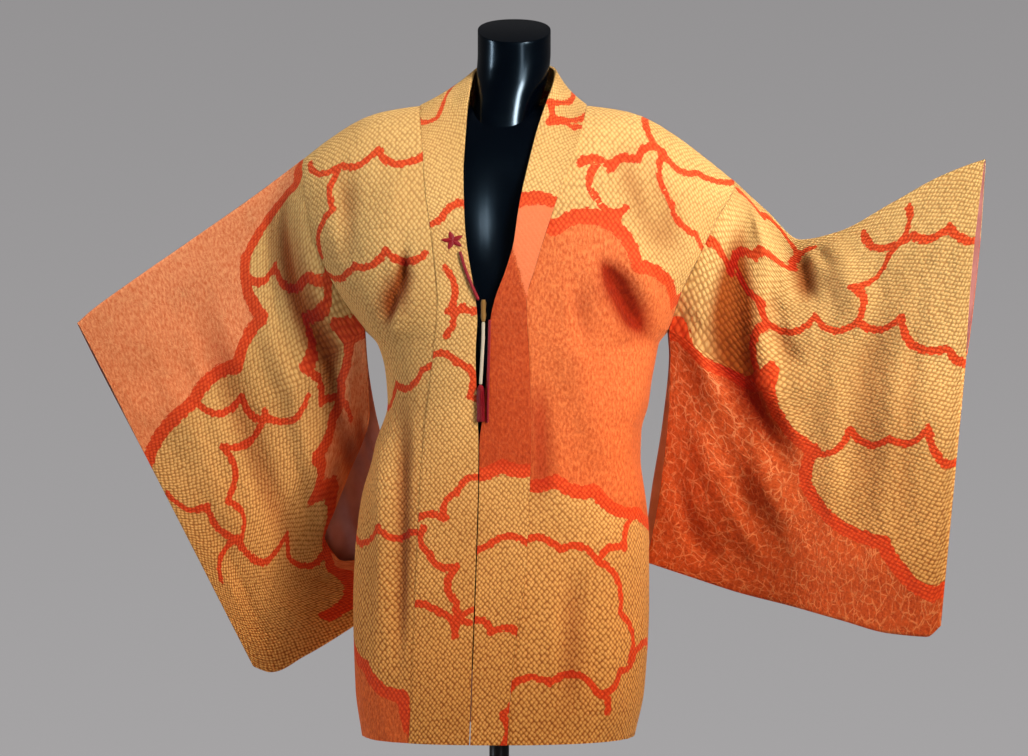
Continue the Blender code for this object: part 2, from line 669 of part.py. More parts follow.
class Sleeve:
    """One sleeve: a flat bag with its fold on top, open at the armhole, below it, and at the wrist."""

    def __init__(self, side, grids, hang, opening, folds):
        self.side, self.grids, self.hang, self.opening, self.folds = side, grids, hang, opening, folds
        self.half_at_armpit = armhole_at(side, grids, 1.0)[1]
        turn = FOLD_TURN / SLEEVE_LENGTH
        above = [ARMPIT_SHARE * i / ROWS_ABOVE for i in range(1, ROWS_ABOVE + 1)]
        below = [ARMPIT_SHARE + (1 - ARMPIT_SHARE) * i / ROWS_OPEN for i in range(1, ROWS_OPEN)]
        self.drops = [0.0, turn] + above + below + [1 - turn, 1.0]

    def body_side(self, drop):
        if drop <= ARMPIT_SHARE:
            return armhole_at(self.side, self.grids, drop / ARMPIT_SHARE)
        share = (drop - ARMPIT_SHARE) / (1 - ARMPIT_SHARE)
        return opening_at(self.opening, self.half_at_armpit, share)

    def hung(self, reach, drop):
        """The straight line from top fold to foot."""
        top, foot = (
            np.array([smooth(self.hang, f"{end}_{axis}", "reach", reach) for axis in "xyz"])
            for end in ("top", "foot")
        )
        return top + (foot - top) * drop

    def middle(self, reach, drop):
        """The sheet halfway between the layers, before its folds."""
        seam = self.body_side(drop)[0] + np.array((self.side * SLEEVE_SEAM_SHIFT, 0, 0))
        return self.hung(reach, drop) + (seam - self.hung(0.0, drop)) * (1 - reach) ** 3

    def forward(self, reach, drop):
        """Unit direction from the back layer to the front one."""
        step = SLEEVE_PROBE
        over = self.middle(min(reach + step, 1), drop) - self.middle(max(reach - step, 0), drop)
        down = self.middle(reach, min(drop + step, 1)) - self.middle(reach, max(drop - step, 0))
        normal = np.cross(over, down)
        normal *= -np.sign(normal[1]) / np.linalg.norm(normal)
        clear = ease(reach, 0, ARMHOLE_FADE)
        normal = normal * clear + (1 - clear) * np.array((0, -1, 0))
        return normal / np.linalg.norm(normal)

    def half(self, reach, drop):
        """Half the distance between the layers."""
        fill = SLEEVE_EDGE + SLEEVE_FILL * math.sin(math.pi * drop) ** 0.8
        wrist = SLEEVE_EDGE
        if drop < WRIST_SHARE:
            wrist += (WRIST_OPENING - SLEEVE_EDGE) * math.sin(math.pi * drop / WRIST_SHARE)
        at_cuff = ease(reach, CUFF_FROM, CUFF_TO)
        hung = fill * (1 - at_cuff) + wrist * at_cuff
        at_body = 1 - ease(reach, 0, ARMHOLE_FADE)
        return max(hung * (1 - at_body) + self.body_side(drop)[1] * at_body, SLEEVE_EDGE)

    def point(self, reach, drop, layer, inset):
        """A point of the front (-1) or back (1) layer, one inset inside its outer face."""
        if layer == FRONT and drop > ARMPIT_SHARE:
            share = (drop - ARMPIT_SHARE) / (1 - ARMPIT_SHARE)
            reach += smooth(self.opening, "parted", "drop", share) * (1 - reach)
        flat = drop in (0.0, 1.0)
        if inset:
            turn = inset * 1.15 / SLEEVE_LENGTH
            drop = turn + drop * (1 - 2 * turn)
        forward = self.forward(reach, drop)
        fade = ease(reach, 0, SEAM_FADE) * ease(drop, 0, FOLD_FADE)
        out = fold_height(reach, drop, self.folds, SLEEVE_WIDTH, SLEEVE_LENGTH) * fade
        away = 0.0 if flat else (self.half(reach, drop) - inset) * -layer
        return self.middle(reach, drop) + forward * (out + away)

    def rings(self, inset):
        """Rings of points from the body to the cuff: down the front layer and up the back one."""
        last = 1 - inset * 1.2 / SLEEVE_WIDTH
        grid = []
        for step in range(SLEEVE_REACHES + 1):
            reach = last * step / SLEEVE_REACHES
            ring = [self.point(reach, drop, FRONT, inset) for drop in self.drops]
            ring += [self.point(reach, drop, BACK, inset) for drop in self.drops[-2:0:-1]]
            grid.append(ring)
        return np.array(grid)

    def build(self, name, material):
        """The bag's wall: a tube with its cuff sewn shut below the wrist opening."""
        outer, inner = self.rings(0.0), self.rings(WALL)
        steps, around = outer.shape[:2]
        foot = len(self.drops) - 1
        sewn_from = min(i for i, drop in enumerate(self.drops) if drop >= WRIST_SHARE)
        points = list(outer.reshape(-1, 3)) + list(inner.reshape(-1, 3))

        def at(step, k, wall):
            return step * around + k % around + wall * steps * around

        faces = []
        for step in range(steps - 1):
            for k in range(around):
                quad = [(step, k), (step, k + 1), (step + 1, k + 1), (step + 1, k)]
                faces.append([at(i, j, 0) for i, j in quad])
                faces.append([at(i, j, 1) for i, j in reversed(quad)])
        for k in range(around):
            faces.append([at(0, k + 1, 0), at(0, k, 0), at(0, k, 1), at(0, k + 1, 1)])
        end = steps - 1
        for k in range(sewn_from, foot):
            for wall in (0, 1):
                face = [at(end, k, wall), at(end, k + 1, wall), at(end, -k - 1, wall), at(end, -k, wall)]
                face = face[:2] + face[3:] if k + 1 == foot else face
                faces.append(face if wall == 0 else face[::-1])
        for k in list(range(-sewn_from, sewn_from)):
            faces.append([at(end, k, 0), at(end, k + 1, 0), at(end, k + 1, 1), at(end, k, 1)])
        stop = [(sewn_from, 0), (-sewn_from, 0), (-sewn_from, 1), (sewn_from, 1)]
        faces.append([at(end, k, wall) for k, wall in stop])
        return new_object(name, points, faces, material)

    def lining(self, name, material):
        """The lining of the back layer, from the sleeve's own points moved forward."""
        near, far = [], []
        for step in range(LINING_FROM, LINING_TO + 1):
            reach = (1 - WALL * 1.2 / SLEEVE_WIDTH) * step / SLEEVE_REACHES
            drops = self.drops[LINING_TOP : LINING_FOOT]
            near.append([self.point(reach, d, BACK, WALL) + self.forward(reach, d) * SEAM for d in drops])
            far.append([p + self.forward(reach, d) * LINING_WALL for p, d in zip(near[-1], drops)])
        return wall_between(name, np.array(far), np.array(near), material)


def form_section(row, angle, face):
    """A point of the form's skin. The angle goes from -90 degrees at the right side to 90 at the left."""
    share = abs(math.sin(angle)) ** (2 / ROUND) * (1 if angle > 0 else -1)
    if row <= FORM_ROWS_BELOW:
        height = FORM_FOOT + (ARMPIT - FORM_FOOT) * row / FORM_ROWS_BELOW
        rise_angle = 0.0
    else:
        height = ARMPIT
        rise_angle = (row - FORM_ROWS_BELOW) / ROWS_ABOVE * math.pi / 2
    rise = math.sin(rise_angle) ** (2 / ROUND)
    x = AXIS
    level = height
    for _ in range(12):
        level = height + (shoulder_height(x) - SHOULDER_REST - ARMPIT) * rise
        x = AXIS + share * smooth(FORM, "half_width", "height", level)
    full = smooth(FORM, "front" if face == FRONT else "back", "height", level)
    if face == FRONT:
        middle = math.exp(-(((x - CHEST_HOLLOW_X) / CHEST_HOLLOW_WIDTH) ** 2))
        between = (CHEST_HOLLOW_FOOT + CHEST_HOLLOW_TOP) / 2
        shown = ease(level, CHEST_HOLLOW_FOOT, between) * (1 - ease(level, between, CHEST_HOLLOW_TOP))
        full -= CHEST_HOLLOW * middle * shown
    y = face * full * math.cos(rise_angle) ** (2 / ROUND) * math.cos(angle) ** (2 / ROUND)
    return x, y, level


def ring_solid(name, rings, material):
    """A closed solid through rings of points, with a flat face at each end."""
    around = len(rings[0])
    points = [point for ring in rings for point in ring]
    faces = [list(range(around))[::-1], [len(points) - around + k for k in range(around)]]
    for i in range(len(rings) - 1):
        for k in range(around):
            a, b = i * around + k, i * around + (k + 1) % around
            faces.append([a, b, b + around, a + around])
    return new_object(name, points, faces, material)


def merge_and_turn_out(obj, distance=1e-6):
    """Joins points that coincide and turns every face outwards."""
    shape = bmesh.new()
    shape.from_mesh(obj.data)
    bmesh.ops.remove_doubles(shape, verts=shape.verts, dist=distance)
    bmesh.ops.dissolve_degenerate(shape, edges=shape.edges, dist=distance)
    bmesh.ops.recalc_face_normals(shape, faces=shape.faces)
    shape.to_mesh(obj.data)
    shape.free()


def make_form(material):
    """The torso: rings up to the armpit, then arches that close on the shoulder line."""
    last = FORM_ROWS_BELOW + ROWS_ABOVE
    angles = [math.pi * (i / FORM_COLUMNS - 0.5) for i in range(FORM_COLUMNS + 1)]
    points, faces = [], []
    for row in range(last + 1):
        front = [form_section(row, angle, FRONT) for angle in angles]
        back = [form_section(row, angle, BACK) for angle in angles[-2:0:-1]]
        points += front + (front[-2:0:-1] if row == last else back)
    around = 2 * FORM_COLUMNS
    for row in range(last):
        for k in range(around):
            a, b = row * around + k, row * around + (k + 1) % around
            faces.append([a, b, b + around, a + around])
    faces.append(list(range(around))[::-1])
    torso = new_object("form_torso", points, faces, material)
    merge_and_turn_out(torso)
    return torso


def neck_rings(grow=0.0, above=0.0):
    """Rings of the neck from its foot up. The top is cut at a slant, higher at the back."""
    rings = []
    for i, height in enumerate(NECK["height"]):
        slant = ease(height, 1.40, 1.50)
        ring = []
        for k in range(NECK_SIDES):
            angle = 2 * math.pi * k / NECK_SIDES
            depth = NECK["back"][i] if math.sin(angle) > 0 else NECK["front"][i]
            across, along = (
                math.copysign(abs(value) ** (2 / NECK["squareness"][i]), value)
                for value in (math.cos(angle), math.sin(angle))
            )
            x = NECK["middle"][i] + (NECK["half_width"][i] + grow) * across
            y = (depth + grow) * along
            level = height + slant * (NECK_SIDE_TOP - NECK["height"][-1] + NECK_TILT * y)
            level += -grow if i == 0 else above * (i == len(NECK["height"]) - 1)
            ring.append((x, y, level))
        rings.append(ring)
    return rings


def make_neck(torso, material):
    """The neck block, and the socket that it sits in."""
    neck = ring_solid("form_neck", neck_rings(), material)
    cutter = ring_solid("neck_socket_cutter", neck_rings(SEAM, 0.02), material)
    cutter.hide_render = True
    cutter.display_type = "WIRE"
    socket = torso.modifiers.new("neck_socket", "BOOLEAN")
    socket.operation = "DIFFERENCE"
    socket.object = cutter
    return neck


def turned(name, profile, sides, material, place=(0.0, 0.0, 0.0)):
    """A solid turned about an upright axis, from a profile of radius and height with both ends on it."""
    inner = profile[1:-1]
    points = [(0.0, 0.0, profile[0][1]), (0.0, 0.0, profile[-1][1])]
    for radius, height in inner:
        for k in range(sides):
            angle = 2 * math.pi * k / sides
            points.append((radius * math.cos(angle), radius * math.sin(angle), height))
    faces = []
    for k in range(sides):
        following = (k + 1) % sides
        faces.append([0, 2 + following, 2 + k])
        top = 2 + (len(inner) - 1) * sides
        faces.append([1, top + k, top + following])
        for i in range(len(inner) - 1):
            a, b = 2 + i * sides + k, 2 + i * sides + following
            faces.append([a, b, b + sides, a + sides])
    points = [tuple(np.array(point) + np.array(place)) for point in points]
    return new_object(name, points, faces, material)


def make_stand(material):
    base = [(0, 0), (BASE_RADIUS - 0.005, 0), (BASE_RADIUS, 0.003), (BASE_RADIUS, 0.008)]
    base += [(BASE_RADIUS - 0.006, BASE_HEIGHT), (HUB_RADIUS + 0.010, BASE_HEIGHT + 0.004)]
    base += [(HUB_RADIUS, BASE_HEIGHT + 0.008), (HUB_RADIUS, HUB_TOP - 0.002), (HUB_RADIUS - 0.002, HUB_TOP)]
    base += [(0, HUB_TOP)]
    turned("stand_base", base, 40, material)
    foot, top = HUB_TOP + SEAM, FORM_FOOT - SEAM
    turned("stand_pole", [(0, foot), (POLE_RADIUS, foot), (POLE_RADIUS, top), (0, top)], 20, material)


def tube(name, route, radius, material, points=14):
    """A round cord along a smooth curve through the points of its route."""
    route = np.array(route)
    spans = np.linalg.norm(np.diff(route, axis=0), axis=1)
    places = np.concatenate([[0], np.cumsum(spans)])
    rows = {"at": places, "x": route[:, 0], "y": route[:, 1], "z": route[:, 2]}
    curve = bpy.data.curves.new(name, "CURVE")
    curve.dimensions = "3D"
    curve.bevel_depth = radius
    curve.bevel_resolution = 2
    curve.use_fill_caps = True
    spline = curve.splines.new("POLY")
    spline.points.add(points - 1)
    for i in range(points):
        at = places[-1] * i / (points - 1)
        spline.points[i].co = (*(smooth(rows, axis, "at", at) for axis in "xyz"), 1.0)
    curve.materials.append(material)
    obj = bpy.data.objects.new(name, curve)
    bpy.context.collection.objects.link(obj)
    return obj


def make_tassel(name, top, material):
    """A tassel: a small head with loose strands, whose roots are joined to it."""
    head = [(0, 0), (0.0022, 0), (0.0040, -0.0025), (0.0044, -0.0060), (0.0040, -0.0085), (0, -0.0085)]
    tassel = turned(name, head[::-1], 12, material, top)
    points, faces = [], []
    for radius, count in zip(STRAND_RINGS["radius"], STRAND_RINGS["count"]):
        for i in range(int(count)):
            angle = 2 * math.pi * i / count + radius * 200
            spread = 1.25 + 0.18 * math.sin(3.1 * i + radius * 900)
            length = TASSEL_LENGTH * (0.94 + 0.06 * math.sin(2.3 * i + 1))
            start = len(points)
            for out, down in ((1.0, 0.006), (spread, 0.55 * length), (spread * 1.05, length)):
                for k in range(3):
                    turn = angle + 2 * math.pi * k / 3
                    x = radius * out * math.cos(angle) + STRAND_RADIUS * math.cos(turn)
                    y = radius * out * math.sin(angle) + STRAND_RADIUS * math.sin(turn)
                    points.append(tuple(np.array((x, y, -down)) + np.array(top)))
            faces += [[start, start + 1, start + 2], [start + 6, start + 8, start + 7]]
            for ring in (0, 3):
                for k in range(3):
                    a, b = start + ring + k, start + ring + (k + 1) % 3
                    faces.append([a, b, b + 3, a + 3])
    strands = new_object(name + "_strands_joiner", points, faces, material)
    strands.hide_render = True
    strands.display_type = "WIRE"
    join = tassel.modifiers.new("strands", "BOOLEAN")
    join.operation = "UNION"
    join.object = strands
    return tassel


def in_front(x, height, clear):
    """A point in front of the collar's outer face."""
    return np.array((x, surface_y(x, height) - COLLAR_PROUD - clear, height))


def make_tie(materials):
    """The jacket's tie: a strand from the right collar to a bound knot, and two tails that hang from it."""
    crimson, cream, bound = materials
    strand = [in_front(x, z, TIE_CLEAR) for x, z in zip(STRAND_ROUTE["x"], STRAND_ROUTE["z"])]
    tube("tie_strand", strand, TIE_RADIUS, crimson, 18)
    knot_y = in_front(STRAND_ROUTE["x"][-1], (KNOT_FOOT + KNOT_TOP) / 2, TIE_RADIUS)[1]
    knot = [(0, KNOT_FOOT), (0.0024, KNOT_FOOT), (0.0034, KNOT_FOOT + 0.003), (0.0030, KNOT_FOOT + 0.0125)]
    knot += [(0.0034, KNOT_TOP - 0.004), (0.0026, KNOT_TOP), (0, KNOT_TOP)]
    turned("tie_knot", knot, 12, bound, (KNOT_X, knot_y, 0.0))
    cream_route = [np.array((x, knot_y, z)) for x, z in zip(CREAM_ROUTE["x"], CREAM_ROUTE["z"])]
    tube("tie_tail_cream", cream_route, TIE_RADIUS, cream, 16)
    make_tassel("tie_tassel", cream_route[-1] - np.array((0, 0, SEAM)), crimson)
    tail = [in_front(x, z, TAIL_CLEAR) for x, z in zip(CRIMSON_ROUTE["x"], CRIMSON_ROUTE["z"])]
    tube("tie_tail_crimson", tail, TAIL_RADIUS, crimson, 22)


def make_leaf(material):
    """A small five-pointed leaf sewn on the right collar, bent to the collar's face."""
    middle_x, middle_z = LEAF_MIDDLE
    outline = []
    for i in range(2 * LEAF_POINTS):
        reach = LEAF_TIP if i % 2 == 0 else LEAF_NOTCH
        angle = math.pi / 2 + LEAF_TURN + math.pi * i / LEAF_POINTS
        across, up = reach * math.cos(angle), reach * LEAF_FLATNESS * math.sin(angle)
        outline.append((middle_x + across, middle_z + up))
    points = [tuple(in_front(middle_x, middle_z, gap)) for gap in (LEAF_FAR, LEAF_NEAR)]
    for gap in (LEAF_FAR, LEAF_NEAR):
        points += [tuple(in_front(x, z, gap)) for x, z in outline]
    count = len(outline)
    faces = []
    for i in range(count):
        following = (i + 1) % count
        faces.append([0, 2 + i, 2 + following])
        faces.append([1, 2 + count + following, 2 + count + i])
        faces.append([2 + following, 2 + i, 2 + count + i, 2 + count + following])
    new_object("leaf_ornament", points, faces, material, smooth_shade=False)


def finish(name, colour, roughness, metallic=0.0):
    """A plain material with the colour, roughness and metallic value of one finish."""
    material = bpy.data.materials.new(name)
    material.use_nodes = True
    shader = material.node_tree.nodes["Principled BSDF"]
    shader.inputs["Base Color"].default_value = (*colour, 1.0)
    shader.inputs["Roughness"].default_value = roughness
    shader.inputs["Metallic"].default_value = metallic
    material.diffuse_color = (*colour, 1.0)
    return material


def main():
    for obj in list(bpy.data.objects):
        bpy.data.objects.remove(obj, do_unlink=True)
    gold_crepe = finish("gold_crepe", (0.62, 0.30, 0.10), 0.80)
    collar_crepe = finish("collar_crepe", (0.66, 0.34, 0.14), 0.80)
    pink_lining = finish("pink_lining", (0.45, 0.20, 0.17), 0.55)
    black_gloss = finish("black_gloss", (0.004, 0.010, 0.022), 0.16)
    black_paint = finish("black_paint", (0.006, 0.006, 0.008), 0.35)
    crimson_silk = finish("crimson_silk", (0.22, 0.010, 0.020), 0.50)
    cream_silk = finish("cream_silk", (0.50, 0.38, 0.27), 0.60)
    bound_gold = finish("bound_gold", (0.14, 0.06, 0.015), 0.50)

    grids = make_body_panels(gold_crepe)
    make_gussets(grids, gold_crepe)
    make_collar(grids, collar_crepe)
    right = Sleeve(RIGHT, grids, RIGHT_SLEEVE, RIGHT_OPENING, RIGHT_SLEEVE_FOLDS)
    right.build("sleeve_right", gold_crepe)
    right.lining("sleeve_lining_right", pink_lining)
    left = Sleeve(LEFT, grids, LEFT_SLEEVE, LEFT_OPENING, LEFT_SLEEVE_FOLDS)
    left.build("sleeve_left", gold_crepe)
    torso = make_form(black_gloss)
    make_neck(torso, black_gloss)
    make_stand(black_paint)
    make_tie((crimson_silk, cream_silk, bound_gold))
    make_leaf(crimson_silk)


main()
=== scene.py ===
"""Looks of a kimono jacket on its dress form: fine cloth, dyed pattern, tie, form, stand, light and camera.

Metres, +Z up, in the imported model's frame: the jacket's front faces -Y, and the wearer's left is at +X.
Each cloth piece is a grid of points on the form of its solid, thickened into a thin shell.
"""

import math

import bpy
import numpy as np
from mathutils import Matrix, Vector


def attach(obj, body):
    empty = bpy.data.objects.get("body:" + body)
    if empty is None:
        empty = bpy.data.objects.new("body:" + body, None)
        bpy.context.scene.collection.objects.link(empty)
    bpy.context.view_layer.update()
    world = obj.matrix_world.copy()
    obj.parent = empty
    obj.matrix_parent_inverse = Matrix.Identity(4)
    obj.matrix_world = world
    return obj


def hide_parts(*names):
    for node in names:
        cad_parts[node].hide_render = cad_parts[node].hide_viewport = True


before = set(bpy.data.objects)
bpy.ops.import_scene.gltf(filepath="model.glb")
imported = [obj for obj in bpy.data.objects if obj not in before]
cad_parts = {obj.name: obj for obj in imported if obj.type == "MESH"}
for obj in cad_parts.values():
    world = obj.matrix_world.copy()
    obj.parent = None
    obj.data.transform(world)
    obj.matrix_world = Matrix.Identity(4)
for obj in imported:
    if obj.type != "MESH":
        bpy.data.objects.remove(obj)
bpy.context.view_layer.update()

# Camera: square to the front, with the photograph's scale at the jacket's front
PHOTO_WIDTH = 1028
PIXEL = 0.00125
SENSOR = 36.0
CAMERA_RUN = 4.2
CAMERA_PLACE = (0.01875, -4.26, 1.0525)

# Spacing of the points on the cloth and the collar, and the thickness of each
CLOTH_STEP = 0.004
COLLAR_STEP = 0.0032
CLOTH_THICK = 0.0016
COLLAR_THICK = 0.0030

# Cloth
WALL = 0.002
SEAM = 0.0003
COLLAR_PROUD = 0.0012
COLLAR_SEAM_SHIFT = 1.3 * SEAM
SLEEVE_SEAM_SHIFT = 1.4 * SEAM
GUSSET_BULGE = 0.002

# Heights of the jacket, and the axis that its sections are drawn about
HEM = 0.602
ARMPIT = 1.115
AXIS = 0.007
ROUND = 2.4

# Dress form and stand
NECK_TILT = 0.40
NECK_SIDE_TOP = 1.4946
POLE_RADIUS = 0.0125
FORM_FOOT = 0.690
SHOULDER_REST = WALL + 0.0008
CHEST_HOLLOW = 0.010
CHEST_HOLLOW_X = 0.003
CHEST_HOLLOW_WIDTH = 0.030
CHEST_HOLLOW_FOOT = 1.150
CHEST_HOLLOW_TOP = 1.340

# Grid sizes: intervals across and along each sheet
ROWS_BELOW = 14
ROWS_ABOVE = 9
LAST_ROW = ROWS_BELOW + ROWS_ABOVE

RIGHT, LEFT = -1, 1
FRONT, BACK = -1, 1


def table(columns, *rows):
    """Rows of numbers as one array for each named column."""
    return dict(zip(columns.split(), np.array(rows, float).T))


# Half sections of the jacket below the armpit and its side edge up to the shoulder.
# The sides are places on X; front and back are depths from the axis, and opening is the share of
# that depth which the side edge keeps, so that gusset and armhole stand open.
BODY = table(
    "height right_side left_side front back opening",
    (0.602, -0.172, 0.170, 0.140, 0.142, 0.22),
    (0.660, -0.180, 0.182, 0.140, 0.142, 0.21),
    (0.770, -0.183, 0.188, 0.139, 0.141, 0.19),
    (0.840, -0.180, 0.188, 0.138, 0.137, 0.18),
    (0.900, -0.173, 0.186, 0.137, 0.131, 0.17),
    (0.950, -0.160, 0.180, 0.136, 0.126, 0.16),
    (0.985, -0.148, 0.181, 0.136, 0.123, 0.15),
    (1.020, -0.139, 0.190, 0.136, 0.121, 0.14),
    (1.060, -0.142, 0.195, 0.137, 0.120, 0.13),
    (1.095, -0.152, 0.200, 0.137, 0.120, 0.12),
    (1.115, -0.170, 0.214, 0.137, 0.120, 0.12),
    (1.160, -0.202, 0.229, 0.137, 0.120, 0.30),
    (1.200, -0.222, 0.248, 0.137, 0.120, 0.42),
    (1.250, -0.239, 0.272, 0.137, 0.120, 0.46),
    (1.300, -0.247, 0.297, 0.137, 0.120, 0.46),
    (1.400, -0.249, 0.299, 0.137, 0.120, 0.46),
)

# Shoulder fold, as height against the distance from the axis
SHOULDER = table(
    "across height",
    (0.000, 1.4010),
    (0.060, 1.4005),
    (0.105, 1.3970),
    (0.150, 1.3905),
    (0.172, 1.3840),
    (0.190, 1.3755),
    (0.213, 1.3610),
    (0.236, 1.3445),
    (0.255, 1.3300),
    (0.270, 1.3185),
    (0.295, 1.2990),
)

# Front collar seams and the collar's free edges, as places on X
COLLAR_FRONT = table(
    "height right_seam right_edge left_seam left_edge",
    (0.602, -0.1110, -0.0365, 0.0105, -0.0350),
    (0.700, -0.1060, -0.0330, 0.0175, -0.0315),
    (0.780, -0.1030, -0.0300, 0.0290, -0.0285),
    (0.850, -0.1000, -0.0275, 0.0355, -0.0260),
    (0.920, -0.0970, -0.0255, 0.0385, -0.0240),
    (0.970, -0.0930, -0.0250, 0.0400, -0.0235),
    (1.020, -0.0875, -0.0265, 0.0395, -0.0175),
    (1.080, -0.0810, -0.0285, 0.0375, -0.0135),
    (1.125, -0.0760, -0.0265, 0.0350, -0.0100),
    (1.150, -0.0750, -0.0285, 0.0345, -0.0045),
    (1.185, -0.0780, -0.0345, 0.0440, 0.0085),
    (1.220, -0.0820, -0.0400, 0.0545, 0.0185),
    (1.260, -0.0880, -0.0430, 0.0675, 0.0240),
    (1.300, -0.0925, -0.0445, 0.0810, 0.0330),
    (1.340, -0.0950, -0.0425, 0.0970, 0.0440),
    (1.397, -0.1000, -0.0395, 0.1110, 0.0560),
)

# Neckline on the back, as the distance from the back seam against the share of the rise to the shoulder
NECKLINE = table(
    "rise across",
    (0.830, 0.0000),
    (0.880, 0.0420),
    (0.940, 0.0720),
    (0.980, 0.0930),
    (1.000, 0.1050),
)

# Free edge of the collar round the neck. Turn is the way round: 0 at the level of the collar bone in front,
# 1 at the side of the neck and 2 at the middle of the back. The sides are distances from the neck's middle.
NECK_MIDDLE = 0.020
NECK_EDGE = table(
    "turn right_side left_side depth height",
    (0.0, 0.0630, 0.0190, -0.1020, 1.3300),
    (0.3, 0.0615, 0.0270, -0.0860, 1.3600),
    (0.6, 0.0590, 0.0400, -0.0560, 1.4000),
    (0.8, 0.0560, 0.0480, -0.0260, 1.4240),
    (1.0, 0.0515, 0.0515, 0.0050, 1.4420),
    (1.5, 0.0380, 0.0380, 0.0490, 1.4530),
    (2.0, 0.0000, 0.0000, 0.0680, 1.4560),
)
NECK_TURN_FROM = 1.300
TURNED_FROM = 1.235
TURNED_TO = 1.355
COLLAR_SINK = -0.003
COLLAR_ROLL = 0.007
ROLL_RISE = 0.7

# How far the left front's side edge is drawn in at the waist, in front of the gusset
TUCK = table(
    "height drawn_in",
    (0.602, 0.000),
    (0.860, 0.000),
    (0.920, 0.010),
    (0.970, 0.016),
    (1.030, 0.011),
    (1.095, 0.000),
    (1.400, 0.000),
)

# Main folds of the fronts and of the back: from one end to the other, out (+) or in (-), and half width
FRONT_FOLDS = table(
    "x_from z_from x_to z_to out width",
    (-0.118, 1.200, -0.140, 1.120, -0.0110, 0.013),
    (-0.122, 1.080, -0.118, 0.640, -0.0080, 0.011),
    (-0.150, 1.050, -0.147, 0.660, 0.0055, 0.012),
    (-0.100, 1.320, -0.175, 1.180, 0.0045, 0.020),
    (-0.195, 1.320, -0.190, 1.180, -0.0060, 0.018),
    (0.130, 1.195, 0.186, 1.100, -0.0110, 0.015),
    (0.096, 1.165, 0.101, 1.080, -0.0050, 0.013),
    (0.050, 1.070, 0.054, 0.880, -0.0075, 0.012),
    (0.070, 1.120, 0.150, 0.900, 0.0060, 0.018),
    (0.100, 0.840, 0.085, 0.610, -0.0055, 0.016),
    (0.140, 0.820, 0.135, 0.610, 0.0050, 0.016),
    (0.150, 1.350, 0.225, 1.190, -0.0070, 0.020),
)
BACK_FOLDS = table(
    "x_from z_from x_to z_to out width",
    (-0.120, 1.230, -0.095, 0.620, 0.0060, 0.020),
    (-0.075, 1.120, -0.050, 0.620, -0.0050, 0.018),
    (0.060, 1.140, 0.045, 0.620, -0.0055, 0.018),
    (0.115, 1.250, 0.095, 0.620, 0.0065, 0.021),
    (0.150, 1.130, 0.145, 0.640, -0.0045, 0.016),
    (-0.160, 1.110, -0.150, 0.660, -0.0040, 0.014),
    (-0.110, 1.330, -0.200, 1.180, -0.0050, 0.020),
    (0.120, 1.340, 0.220, 1.190, -0.0055, 0.020),
)

# Each sleeve hangs between its top fold and its foot. Reach goes from the armhole to the cuff.
RIGHT_SLEEVE = table(
    "reach top_x top_y top_z foot_x foot_y foot_z",
    (0.00, -0.249, 0.000, 1.330, -0.062, 0.168, 0.820),
    (0.25, -0.318, 0.004, 1.279, -0.130, 0.158, 0.772),
    (0.50, -0.392, 0.002, 1.227, -0.196, 0.148, 0.724),
    (0.75, -0.464, -0.008, 1.176, -0.256, 0.138, 0.688),
    (0.93, -0.516, -0.018, 1.137, -0.299, 0.132, 0.668),
    (1.00, -0.532, -0.022, 1.122, -0.322, 0.130, 0.676),
)
LEFT_SLEEVE = table(
    "reach top_x top_y top_z foot_x foot_y foot_z",
    (0.00, 0.297, 0.000, 1.299, 0.186, 0.090, 0.815),
    (0.14, 0.336, -0.032, 1.261, 0.243, 0.046, 0.798),
    (0.27, 0.376, -0.062, 1.224, 0.306, -0.008, 0.780),
    (0.42, 0.420, -0.096, 1.233, 0.362, -0.058, 0.768),
    (0.64, 0.482, -0.140, 1.267, 0.423, -0.110, 0.753),
    (0.82, 0.535, -0.172, 1.297, 0.478, -0.152, 0.740),
    (0.95, 0.575, -0.194, 1.313, 0.520, -0.180, 0.738),
    (1.00, 0.588, -0.200, 1.317, 0.536, -0.188, 0.752),
)

# Body side of each sleeve below the armpit, where it hangs open, from the armpit down.
# Parted is how far the front layer is pulled off that edge, as a share of the sleeve's reach.
RIGHT_OPENING = table(
    "drop x y z parted",
    (0.00, -0.170, 0.000, 1.115, 0.00),
    (0.12, -0.168, 0.020, 1.075, 0.00),
    (0.32, -0.160, 0.062, 1.012, 0.02),
    (0.60, -0.136, 0.108, 0.926, 0.23),
    (0.74, -0.115, 0.130, 0.890, 0.31),
    (0.86, -0.092, 0.149, 0.857, 0.22),
    (0.95, -0.072, 0.162, 0.833, 0.05),
    (1.00, -0.062, 0.168, 0.820, 0.00),
)
LEFT_OPENING = table(
    "drop x y z parted",
    (0.00, 0.214, 0.000, 1.115, 0.00),
    (0.12, 0.217, 0.016, 1.080, 0.00),
    (0.35, 0.211, 0.040, 1.005, 0.01),
    (0.70, 0.196, 0.072, 0.900, 0.02),
    (1.00, 0.186, 0.090, 0.815, 0.01),
)

# Half distance between a sleeve's two layers
SLEEVE_EDGE = 0.0034
SLEEVE_FILL = 0.0085
WRIST_OPENING = 0.0120
WRIST_SHARE = 0.42
SLEEVE_MOUTH = 0.015
MOUTH_FROM = 0.40
MOUTH_TO = 0.60
ARMHOLE_FADE = 0.30
SEAM_FADE = 0.12
FOLD_FADE = 0.05
CUFF_FROM = 0.72
CUFF_TO = 0.98
SLEEVE_PROBE = 0.01
FOLD_TURN = 0.0035
SLEEVE_WIDTH = 0.35
SLEEVE_LENGTH = 0.53
ARMPIT_SHARE = 0.42

